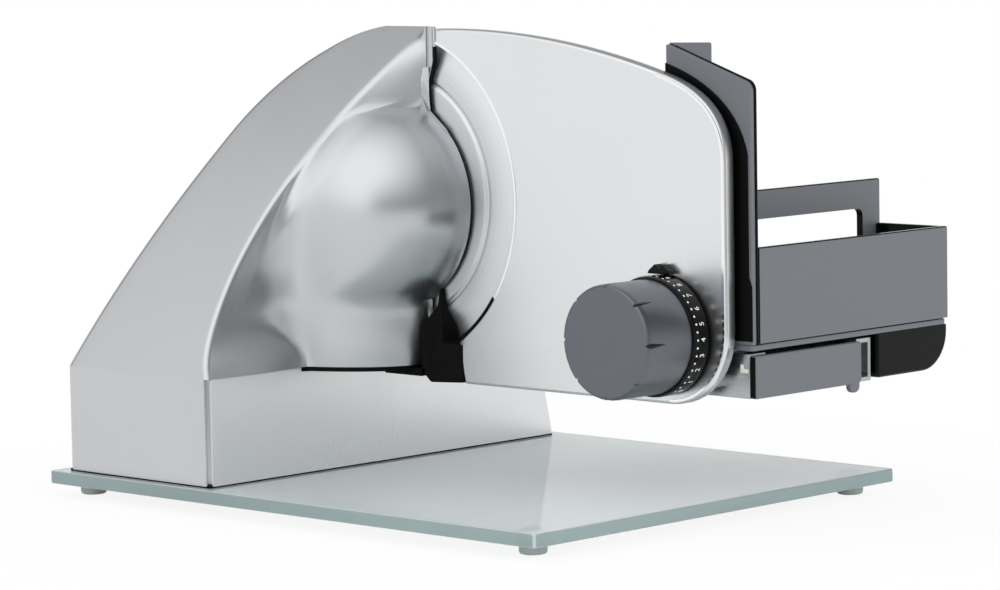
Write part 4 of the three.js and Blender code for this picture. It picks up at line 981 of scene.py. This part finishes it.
for step in range(ARC_STEPS + 1):
    turn = arc_end + (arc_start - arc_end) * step / ARC_STEPS
    plate_outline.append(Vector((ARC_RADIUS * math.cos(turn), AXIS_Z + ARC_RADIUS * math.sin(turn))))
stop_plate = plate_from(plate_outline, "Y", PLATE_FRONT, FOOD_FACE)
bevel_edges(stop_plate, 1.8, 4, lambda middle: middle.y < 0, angle=60)
bevel_edges(stop_plate, 0.8, 2, lambda middle: middle.y > FOOD_FACE - 0.1, angle=60)
hand_over(stop_plate, "aluminium_stop_plate", "stop_unit", plate_finish_and_side_light,
          ["stop_plate"], smooth=30)

# %% [markdown]
# A narrow polished lip runs along the arc and the right edge, just proud of the plate: the brightest lines
# of the machine. Near the arc's lower end it gives way to a black strip, painted shade for the shadow gap
# between the arc and the blade.

# %% Lips of the stop plate
LIP_RISE = 0.35
LIP_STEPS = 39


def edge_strip(line, inset, width, front, rear):
    """A strip along a line of the plate's outline, set in from it."""
    outer, inner = [], []
    for index, point in enumerate(line):
        along = (line[min(index + 1, len(line) - 1)] - line[max(index - 1, 0)]).normalized()
        inward = Vector((-along.y, along.x))
        outer.append(point + inward * inset)
        inner.append(point + inward * (inset + width))
    strip = plate_from(outer + inner[::-1], "Y", front, rear)
    bevel_edges(strip, 0.25, 2, angle=50)
    return strip


arc_line = plate_outline[-ARC_STEPS - 1:]
right_line = plate_outline[1:1 + CORNER_STEPS + 1 + SIDE_STEPS]
lips = edge_strip(arc_line[:LIP_STEPS + 1], 0.4, 1.5, PLATE_FRONT - LIP_RISE, PLATE_FRONT + 2.5)
join(lips, edge_strip(right_line, 0.9, 1.8, PLATE_FRONT - LIP_RISE, PLATE_FRONT + 2.5))
hand_over(lips, "polished_lips", "stop_unit", polished_edge)
# Painted shade: a black strip along the lower arc, where the gap to the blade lies in shadow.
arc_shade_strip = edge_strip(arc_line[LIP_STEPS:], -0.7, 1.6, PLATE_FRONT - 0.2, PLATE_FRONT + 4)
hand_over(arc_shade_strip, "arc_shade_strip", "stop_unit", black_rubber_and_painted_shade)

# %% [markdown]
# The thickness knob is a moulded cup with a soft front edge and V-shaped finger notches. The cup is
# turned. For each notch a triangle that runs out to a point is drawn and spun to its place, and a
# Boolean modifier takes all of them away at once.

# %% Knob
KNOB_X, KNOB_Z, KNOB_RADIUS = 190.5, 96.5, 29
KNOB_FRONT, KNOB_BACK, SCALE_FRONT = -48, -4.5, -16
knob_centre = at(KNOB_X, 0, KNOB_Z)
KNOB_PROFILE = [
    (0, KNOB_FRONT), (26.6, KNOB_FRONT), (27.6, KNOB_FRONT + 0.2), (28.4, KNOB_FRONT + 0.8),
    (28.8, KNOB_FRONT + 1.8), (KNOB_RADIUS, KNOB_FRONT + 4), (KNOB_RADIUS, SCALE_FRONT), (27, SCALE_FRONT),
    (27, KNOB_BACK), (24.5, KNOB_BACK), (24.5, -43), (0, -43),
]
knob = turned(KNOB_PROFILE, knob_centre, ALONG_Y, 96)
NOTCHES, NOTCH_LENGTH, NOTCH_DEPTH, NOTCH_HALF = 8, 25, 2.6, 3.4
cutter_top = KNOB_RADIUS + 2
cutters = []
for number in range(NOTCHES):
    cutter = plate_from([
        (-NOTCH_HALF, cutter_top), (0, KNOB_RADIUS - NOTCH_DEPTH), (NOTCH_HALF, cutter_top),
    ], "Y", KNOB_FRONT - 1, KNOB_FRONT - 1 + NOTCH_LENGTH)
    turn = Matrix.Rotation(number * math.tau / NOTCHES, 3, "Y")
    for vertex in cutter.data.vertices:
        place = drawn(vertex.co)
        if place.y > KNOB_FRONT + 1:
            place.x, place.z = 0, cutter_top
        spun = turn @ Vector((place.x, 0, place.z))
        vertex.co = at(KNOB_X + spun.x, place.y, KNOB_Z + spun.z)
    turn_faces_out(cutter, merge=True)
    cutters.append(cutter)
notch_cutter = join(*cutters)
apply_modifier(knob, "BOOLEAN", {"operation": "DIFFERENCE", "object": notch_cutter, "solver": "EXACT"})
bpy.data.objects.remove(notch_cutter)
hand_over(knob, "grip_knob", "knob_unit", knob_abs, ["thickness_knob"], smooth=25)

# %% [markdown]
# Behind the knob turns a black ring with the slice scale: a plain number for each millimetre and a dot for
# each half. The numbers are text objects that are made a mesh, turned round the ring and joined.

# %% Scale ring and its marks
RING_RADIUS = 30.6
RING_PROFILE = [
    (27.3, SCALE_FRONT), (29.4, SCALE_FRONT), (30.1, SCALE_FRONT + 0.5), (RING_RADIUS, SCALE_FRONT + 2),
    (RING_RADIUS, KNOB_BACK - 0.6), (30.1, KNOB_BACK), (27.3, KNOB_BACK),
]
ring = turned(RING_PROFILE, knob_centre, ALONG_Y, 96)
hand_over(ring, "black_scale_ring", "knob_unit", black_abs, ["scale_ring"], smooth=30)
STEPS, STEP_TURN, SCALE_START = 20, 15, -60
DOT_PLACE, NUMBER_PLACE = KNOB_BACK - 8.8, KNOB_BACK - 4.6
DOT_RADIUS, NUMBER_SIZE, MARK_GAP, MARK_RISE = 0.6, 4.6, 0.02, 0.12
marks = []
for half_step in range(2 * STEPS + 1):
    angle = math.radians(half_step * STEP_TURN / 2 + SCALE_START)
    outward = Vector((math.cos(angle), 0, math.sin(angle)))
    sideways = Vector((-math.sin(angle), 0, math.cos(angle)))
    bpy.ops.object.select_all(action="DESELECT")
    bpy.ops.mesh.primitive_circle_add(vertices=10, radius=DOT_RADIUS * MM, fill_type="NGON")
    new_marks = [(bpy.context.object, DOT_PLACE)]
    if half_step % 2 == 0:
        bpy.ops.object.text_add()
        number = bpy.context.object
        number.data.body = str(half_step // 2)
        number.data.size = NUMBER_SIZE * MM
        number.data.align_x = "CENTER"
        number.data.align_y = "CENTER"
        number.data.resolution_u = 2
        bpy.ops.object.convert(target="MESH")
        new_marks.append((number, NUMBER_PLACE))
    for mark, depth in new_marks:
        for vertex in mark.data.vertices:
            vertex.co = (at(KNOB_X, depth, KNOB_Z) + outward * (RING_RADIUS + MARK_GAP) * MM
                         + sideways * vertex.co.x - ALONG_Y * vertex.co.y)
        marks.append(mark)
scale_marks = join(*marks)
make_active(scale_marks)
bpy.ops.object.mode_set(mode="EDIT")
bpy.ops.mesh.select_all(action="SELECT")
bpy.ops.mesh.extrude_region_shrink_fatten(TRANSFORM_OT_shrink_fatten={"value": MARK_RISE * MM})
bpy.ops.object.mode_set(mode="OBJECT")
turn_faces_out(scale_marks)
hand_over(scale_marks, "scale_marks", "knob_unit", white_ink)

# %% [markdown]
# The index stands on the plate just above the ring: two black bumps with a notch between them that points
# at the chosen step.

# %% Scale index
index_z = KNOB_Z + RING_RADIUS + 0.4
index = plate_from(rounded([
    (KNOB_X - 7.5, index_z, 0), (KNOB_X + 7.5, index_z, 0), (KNOB_X + 6.4, index_z + 1.8, 0.8),
    (KNOB_X + 2.4, index_z + 5, 0.6), (KNOB_X, index_z + 2.4, 0), (KNOB_X - 2.4, index_z + 5, 0.6),
    (KNOB_X - 6.4, index_z + 1.8, 0.8),
], 4), "Y", PLATE_FRONT - 5, PLATE_FRONT)
bevel_edges(index, 0.5, 2)
hand_over(index, "index_bumps", "stop_unit", black_abs, ["scale_index"])

# %% [markdown]
# The carriage runs on two rails, sheet-steel channels that stand on the rear deck and reach out to the
# right. The channel section is drawn across X, so that the whole rail is one extrusion with small bends.
# A grey cap closes their right ends, with a thin black strip in front that is painted shade on its front
# face, and a small nylon stop.

# %% Rails and end cap
RAIL_START, RAIL_END, RAIL_TOP, RAIL_SHEET, RAIL_WIDTH = -128, 235.9, 88.5, 2.5, 12
FRONT_WEB, REAR_WEB = 9, 105
for name, web, open_side in (("front_rail", FRONT_WEB, 1), ("rear_rail", REAR_WEB, -1)):
    inner = web + open_side * RAIL_SHEET
    flange = web + open_side * RAIL_WIDTH
    rail = plate_from([
        (web, DECK_TOP), (flange, DECK_TOP), (flange, DECK_TOP + RAIL_SHEET), (inner, DECK_TOP + RAIL_SHEET),
        (inner, RAIL_TOP - RAIL_SHEET), (flange, RAIL_TOP - RAIL_SHEET), (flange, RAIL_TOP), (web, RAIL_TOP),
    ], "X", RAIL_START, RAIL_END)
    bevel_edges(rail, 0.5, 2)
    hand_over(rail, "channel_" + name, "base", rail_steel, [name])
CAP_REAR, CAP_TOP, CAP_END = 93, 87.5, 239.5
end_cap = plate_from(rounded([
    (FRONT_WEB, DECK_TOP, 1.5), (CAP_REAR, DECK_TOP, 3),
    (CAP_REAR, CAP_TOP, 1.5), (FRONT_WEB, CAP_TOP, 1.5),
]), "X", RAIL_END, CAP_END)
bevel_edges(end_cap, 0.8, 3, angle=60)
cap_nub = plate_from(rounded([(84, 61.5, 3.5), (92, 61.5, 3.5), (92, 67, 0), (84, 67, 0)]), "X",
                     RAIL_END, CAP_END - 0.5)
bevel_edges(cap_nub, 0.6, 2, angle=60)
join(end_cap, cap_nub)
hand_over(end_cap, "rail_cover", "base", dark_abs, ["rail_end_cap"])
# Painted shade: a black sheet over the front face of the cap, which lies in shadow.
cap_shade_strip = block_from((RAIL_END + 0.2, 8.3, 66.6), (239.2, 9.2, 87))
bevel_edges(cap_shade_strip, 0.25, 2)
hand_over(cap_shade_strip, "cap_shade_strip", "base", black_rubber_and_painted_shade)
rail_stop = plate_from([
    (230, 79), (235.2, 79), (235.2, 81), (232.2, 81), (232.2, 83.2), (230, 83.2),
], "Y", 8.2, 9.2)
bevel_edges(rail_stop, 0.3, 2)
hand_over(rail_stop, "nylon_rail_stop", "base", glide_nylon)

# %% [markdown]
# The carriage is a moulding in several walls: a floor pan, the thumb guard with its fin, the pusher wall
# with a long window, the outer tray wall and a rounded black skirt behind the rear rail. Each is an
# outline with a thickness and softly rounded edges.

# %% Carriage pan
CARRIAGE_LEFT, CARRIAGE_RIGHT = 70, 239.5
CARRIAGE_FRONT, CARRIAGE_REAR = 7.5, 166
PAN_BOTTOM, PAN_TOP = 90, 93
pan = plate_from(rounded([
    (CARRIAGE_LEFT, CARRIAGE_FRONT, 2), (CARRIAGE_RIGHT - 0.8, CARRIAGE_FRONT, 2),
    (CARRIAGE_RIGHT - 0.8, CARRIAGE_REAR, 4), (CARRIAGE_LEFT, CARRIAGE_REAR, 4),
]), "Z", PAN_BOTTOM, PAN_TOP)
bevel_edges(pan, 0.7, 2, angle=60)
hand_over(pan, "floor_pan", "carriage", dark_abs, ["carriage_pan"])

# %% [markdown]
# The thumb guard is moulded in two shells: a grey one in front and a black one behind it, which shows as a
# thin line along the top and the right edge. A fin stands on its rear. The front carries a black strip
# that follows the outline of the stop plate: painted shade, the dark band that the plate leaves on the
# guard beside its edge.

# %% Thumb guard
GUARD_LEFT, GUARD_REAR, GUARD_TOP = 183.5, 12.1, 242.5
GUARD_SIDE, GUARD_SEAM, FIN_REAR = 223.5, 10.6, 39.1


def guard_shell(margin, front, rear, rounding):
    """One shell of the guard; the margin makes it a little smaller all round."""
    right_edge = CARRIAGE_RIGHT - margin
    shell = plate_from(rounded([
        (GUARD_LEFT + margin, PAN_TOP, 0), (right_edge, PAN_TOP, 0), (right_edge, GUARD_SIDE - margin, 6),
        (GUARD_LEFT + margin, GUARD_TOP - margin, 0.8),
    ], 8), "Y", front, rear)
    bevel_edges(shell, rounding, 3, angle=60)
    return shell


guard = guard_shell(0.5, CARRIAGE_FRONT, GUARD_SEAM, 0.6)
fin = plate_from(rounded([
    (GUARD_SEAM + 0.1, PAN_TOP, 0), (FIN_REAR, PAN_TOP, 0),
    (FIN_REAR, GUARD_TOP - 1, 1), (GUARD_SEAM + 0.1, GUARD_TOP, 0),
]), "X", GUARD_LEFT + 0.5, GUARD_LEFT + 4)
bevel_edges(fin, 0.6, 3, lambda middle: middle.y > GUARD_REAR + 0.5)
join(guard, fin)
hand_over(guard, "guard_wall", "carriage", dark_abs, ["thumb_guard"])
guard_back = guard_shell(0, GUARD_SEAM, GUARD_REAR, 0.4)
hand_over(guard_back, "guard_back_shell", "carriage", black_abs)
# Painted shade: the black strip follows the plate's edge, where the guard lies in its shade.
shade_strip_curve = bend(Vector((GUARD_LEFT + 0.5, 232.5)), Vector((230, 219)), Vector((237.2, 188)), 14)
guard_shade_strip = plate_from([
    (GUARD_LEFT + 0.5, 130), (222, 95), (239.2, 95), (239.2, 122), (237.2, 127), *reversed(shade_strip_curve),
], "Y", CARRIAGE_FRONT - 0.7, CARRIAGE_FRONT + 0.1)
bevel_edges(guard_shade_strip, 0.25, 2, angle=50)
hand_over(guard_shade_strip, "guard_shade_strip", "carriage", black_rubber_and_painted_shade)

# %% [markdown]
# The window in the pusher wall is cut in one go by a Boolean modifier with a rounded plate, as a router
# would cut it. The pusher and the tray are grey plastic, and every face that doesn't look to the right is
# painted black: painted shade inside the tray and along the edges.

# %% Pusher wall and outer tray
PUSHER_LEFT, PUSHER_RIGHT, PUSHER_FRONT, PUSHER_TOP = 190.5, 194.5, 40.1, 165
pusher = block_from((PUSHER_LEFT, PUSHER_FRONT, PAN_TOP), (PUSHER_RIGHT, CARRIAGE_REAR, PUSHER_TOP))
bevel_edges(pusher, 1.0, 3, lambda middle: middle.z > PAN_TOP + 1)
window = plate_from(rounded([(48.1, 105, 4), (151, 105, 4), (151, 150, 4), (48.1, 150, 4)]), "X", 188, 197)
apply_modifier(pusher, "BOOLEAN", {"operation": "DIFFERENCE", "object": window, "solver": "EXACT"})
bpy.data.objects.remove(window)
hand_over(pusher, "pusher_frame", "carriage", dark_abs, ["pusher_wall"])
# Painted shade: black on the faces of the pusher that turn away from the right.
paint_faces(pusher, black_abs, lambda face: face.normal.x < 0.9)
TRAY_TOP, TRAY_WALL = 141.5, 4
tray_left, tray_front = PUSHER_RIGHT + 0.3, GUARD_REAR + 0.3
tray_outline = rounded([
    (CARRIAGE_RIGHT - TRAY_WALL, tray_front, 0), (CARRIAGE_RIGHT, tray_front, 0),
    (CARRIAGE_RIGHT, CARRIAGE_REAR, 1.5), (tray_left, CARRIAGE_REAR, 0),
    (tray_left, CARRIAGE_REAR - TRAY_WALL, 0), (CARRIAGE_RIGHT - TRAY_WALL, CARRIAGE_REAR - TRAY_WALL, 1),
])
tray = plate_from(tray_outline, "Z", PAN_TOP + 0.6, TRAY_TOP)
bevel_edges(tray, 1.2, 3, lambda middle: middle.z > TRAY_TOP - 1 or middle.y < GUARD_REAR + 1, angle=60)
hand_over(tray, "tray_wall", "carriage", dark_abs, ["outer_tray"])
# Painted shade: black on the inside and the edges of the tray.
paint_faces(tray, black_abs, lambda face: face.normal.x < 0.9)

# %% [markdown]
# The skirt hangs from the pan behind the rear rail and keeps crumbs off it. It is a solid black moulding
# with a large round along its lower rear edge, so its section is drawn across X and extruded.

# %% Rear skirt
SKIRT_FRONT, SKIRT_BOTTOM = 107, 67
skirt = plate_from(rounded([
    (SKIRT_FRONT, SKIRT_BOTTOM, 3), (CARRIAGE_REAR, SKIRT_BOTTOM, 20),
    (CARRIAGE_REAR, PAN_BOTTOM, 0), (SKIRT_FRONT, PAN_BOTTOM, 0),
], 12), "X", 146.5, 238.5)
bevel_edges(skirt, 1.6, 3, lambda middle: middle.z < PAN_BOTTOM - 1, angle=60)
hand_over(skirt, "black_skirt", "carriage", black_abs, ["rear_skirt"])

# %% [markdown]
# On the left side sit the push button, in a round bezel, and the gland through which the mains lead
# leaves. All three are turned about X, in places measured along it. The button's face is dished for the
# finger.

# %% Switch button, bezel and cord gland
switch_centre = at(0, -80, 45)
button = turned([
    (0, -139.2), (4, -139.4), (7, -140), (8.2, -140), (8.8, -139.6), (9, -138.8), (9, -131.5), (0, -131.5),
], switch_centre, ALONG_X, 64)
hand_over(button, "dished_button", "button", black_abs, ["switch_button"])
bezel = turned([
    (9.6, -137.4), (11.8, -137.4), (12.6, -136.9), (12.8, -135.6), (9.6, -135.6),
], switch_centre, ALONG_X, 64)
hand_over(bezel, "switch_bezel", "base", black_abs)
gland = turned([
    (3.5, -141), (5.2, -141), (5.6, -140.6), (6, -138), (6, -137.6), (8.2, -137.6), (8.6, -137.2),
    (8.6, -136), (6, -136), (6, -130.5), (3.5, -130.5),
], at(0, 102, 31), ALONG_X, 48)
hand_over(gland, "lead_gland", "base", black_abs, ["cord_gland"])

# %% [markdown]
# The rest of the machine is inside it, or plain enough to keep its CAD shape. Each node only gets the
# finish of the real part: plated steel for the motor, acetal for the worm wheel, bronze for the bushes,
# nylon for the glides.

# %% Finishes of the hidden pieces
hidden = {
    plated_steel: ["motor_can", "rotor_and_worm", "blade_shaft", "knob_axle", "guide_rod_1", "guide_rod_2",
                   "cam_follower", "rail_screw_1", "rail_screw_2", "rail_screw_3", "rail_screw_4"],
    black_abs: ["motor_cap_left", "motor_cap_right", "motor_cradle", "switch_body"],
    gear_acetal: ["worm_wheel"],
    bush_bronze: ["front_shaft_bush", "rear_shaft_bush"],
    raw_casting: ["bearing_bracket", "guide_block"],
    liner_steel: ["housing_bottom_plate", "blade_bulkhead", "carriage_liner"],
    glide_nylon: ["glide_front_left", "glide_front_right", "glide_rear_left", "glide_rear_right"],
}
for material, names in hidden.items():
    for name in names:
        node_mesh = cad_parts[name].data
        node_mesh.materials.clear()
        node_mesh.materials.append(material)
print("hidden nodes", sum(len(names) for names in hidden.values()))

# %% [markdown]
# The stage is a plain white table. The camera, mirrors and glass see it mostly as an even white. A small
# part of it is mat paint that the lamps have to light, so that it still takes a faint shadow. A light
# path node tells which ray is asking.

# %% Stage
TABLE_WHITE = 0.88
bpy.ops.object.select_all(action="DESELECT")
bpy.ops.mesh.primitive_plane_add(size=0.7, location=(0, 0, -0.0005))
floor = bpy.context.object
floor.name = "white_table"
table_paint = bpy.data.materials.new("white_table_paint")
table_paint.use_nodes = True
tree = table_paint.node_tree
tree.nodes.clear()
rays = add_node(tree, "ShaderNodeLightPath", {}).outputs
seen = combined(tree, "MAXIMUM", rays["Is Camera Ray"], rays["Is Glossy Ray"])
seen = combined(tree, "MAXIMUM", seen, rays["Is Transmission Ray"])
share = combined(tree, "MULTIPLY", seen, TABLE_WHITE)
matt = add_node(tree, "ShaderNodeBsdfDiffuse", {"Color": linear("#F4F4F4")})
white = add_node(tree, "ShaderNodeEmission", {"Color": (1, 1, 1, 1), "Strength": 1.0})
mixed = add_node(tree, "ShaderNodeMixShader", {}, {0: share, 1: matt.outputs[0], 2: white.outputs[0]})
add_node(tree, "ShaderNodeOutputMaterial", {}, {"Surface": mixed.outputs[0]})
floor.data.materials.append(table_paint)
bpy.context.scene.view_settings.view_transform = "Standard"
print("table", floor.name)

# %% [markdown]
# Metal is only as good as what it mirrors. The studio that it sees is white all round near the horizon,
# with a broad soft light in front and above, a grey ceiling behind it, and one dark side at the right
# front, beside the camera: that draws the light and dark on the dome and on the polished lips. Mat
# surfaces see an even room, and three soft boxes lighten the sides that face them. The camera, and what
# it sees through the glass, gets plain white.

# %% Studio light
FRONT_LIGHT = (0.0, -0.82, 0.57)
DARK_SIDE = (0.88, -0.475, 0.0)
CEILING, EVEN_ROOM = 0.3, 0.95
world = bpy.data.worlds.new("studio")
world.use_nodes = True
bpy.context.scene.world = world
tree = world.node_tree
tree.nodes.clear()
rays = add_node(tree, "ShaderNodeLightPath", {}).outputs
heading = add_node(tree, "ShaderNodeTexCoord", {}).outputs["Generated"]
height = add_node(tree, "ShaderNodeSeparateXYZ", {}, {0: heading}).outputs["Z"]


def towards(place):
    """How much a ray heads for a place in the studio: 1 straight at it, 0 across."""
    dot = add_node(tree, "ShaderNodeVectorMath", {"operation": "DOT_PRODUCT", 1: place}, {0: heading})
    return dot.outputs["Value"]


def graded(value, start, end, low, high, curve="SMOOTHSTEP"):
    """Goes from low to high while the value goes from start to end."""
    settings = {"From Min": start, "From Max": end, "To Min": low, "To Max": high}
    ramp = add_node(tree, "ShaderNodeMapRange", {"interpolation_type": curve, **settings}, {"Value": value})
    return ramp.outputs[0]


front = graded(towards(FRONT_LIGHT), 0.26, 0.93, 0.0, 1.13, "LINEAR")
side = graded(towards(DARK_SIDE), 0.62, 0.87, 0.0, 0.95)
darkness = combined(tree, "MULTIPLY", side, graded(height, -0.35, -0.02, 0.0, 1.0))
horizon = graded(height, 0.0, 0.4, 0.7, 0.0)
sweep = combined(tree, "MULTIPLY", horizon, combined(tree, "SUBTRACT", 1.0, darkness))
gloom = combined(tree, "MULTIPLY", darkness, graded(height, -0.05, 0.55, 0.85, 0.0))
lamp = combined(tree, "MULTIPLY", front, combined(tree, "SUBTRACT", 1.0, gloom))
room = combined(tree, "ADD", combined(tree, "MAXIMUM", sweep, lamp), CEILING)
soft_room = add_node(tree, "ShaderNodeBackground", {"Color": (1, 1, 1, 1), "Strength": EVEN_ROOM})
studio = add_node(tree, "ShaderNodeBackground", {"Color": (1, 1, 1, 1)}, {"Strength": room})
backdrop = add_node(tree, "ShaderNodeBackground", {"Color": (1, 1, 1, 1), "Strength": 1.0})
mirrored = add_node(tree, "ShaderNodeMixShader", {}, {
    0: rays["Is Glossy Ray"], 1: soft_room.outputs[0], 2: studio.outputs[0],
})
clear = combined(tree, "MAXIMUM", rays["Is Camera Ray"], rays["Is Transmission Ray"])
shown = add_node(tree, "ShaderNodeMixShader", {}, {0: clear, 1: mirrored.outputs[0], 2: backdrop.outputs[0]})
add_node(tree, "ShaderNodeOutputWorld", {}, {"Surface": shown.outputs[0]})


def soft_box(name, place, size, strength):
    """A square area lamp that looks at the slicer; strength is the brightness of its face."""
    bpy.ops.object.light_add(type="AREA", location=place)
    lamp = bpy.context.object
    lamp.name = name
    lamp.data.size = size
    lamp.data.energy = strength * math.pi * size * size
    lamp.rotation_euler = (Vector((0, 0, 0.12)) - Vector(place)).to_track_quat("-Z", "Y").to_euler()
    lamp.visible_glossy = False
    print(name, "power", round(lamp.data.energy, 1))


soft_box("left_soft_box", (-1.5, -0.5, 1.6), 1.3, 1.1)
soft_box("front_soft_box", (0.5, -2.0, 0.55), 1.1, 1.1)
soft_box("right_soft_box", (1.7, 0.3, 0.7), 1.2, 1.6)
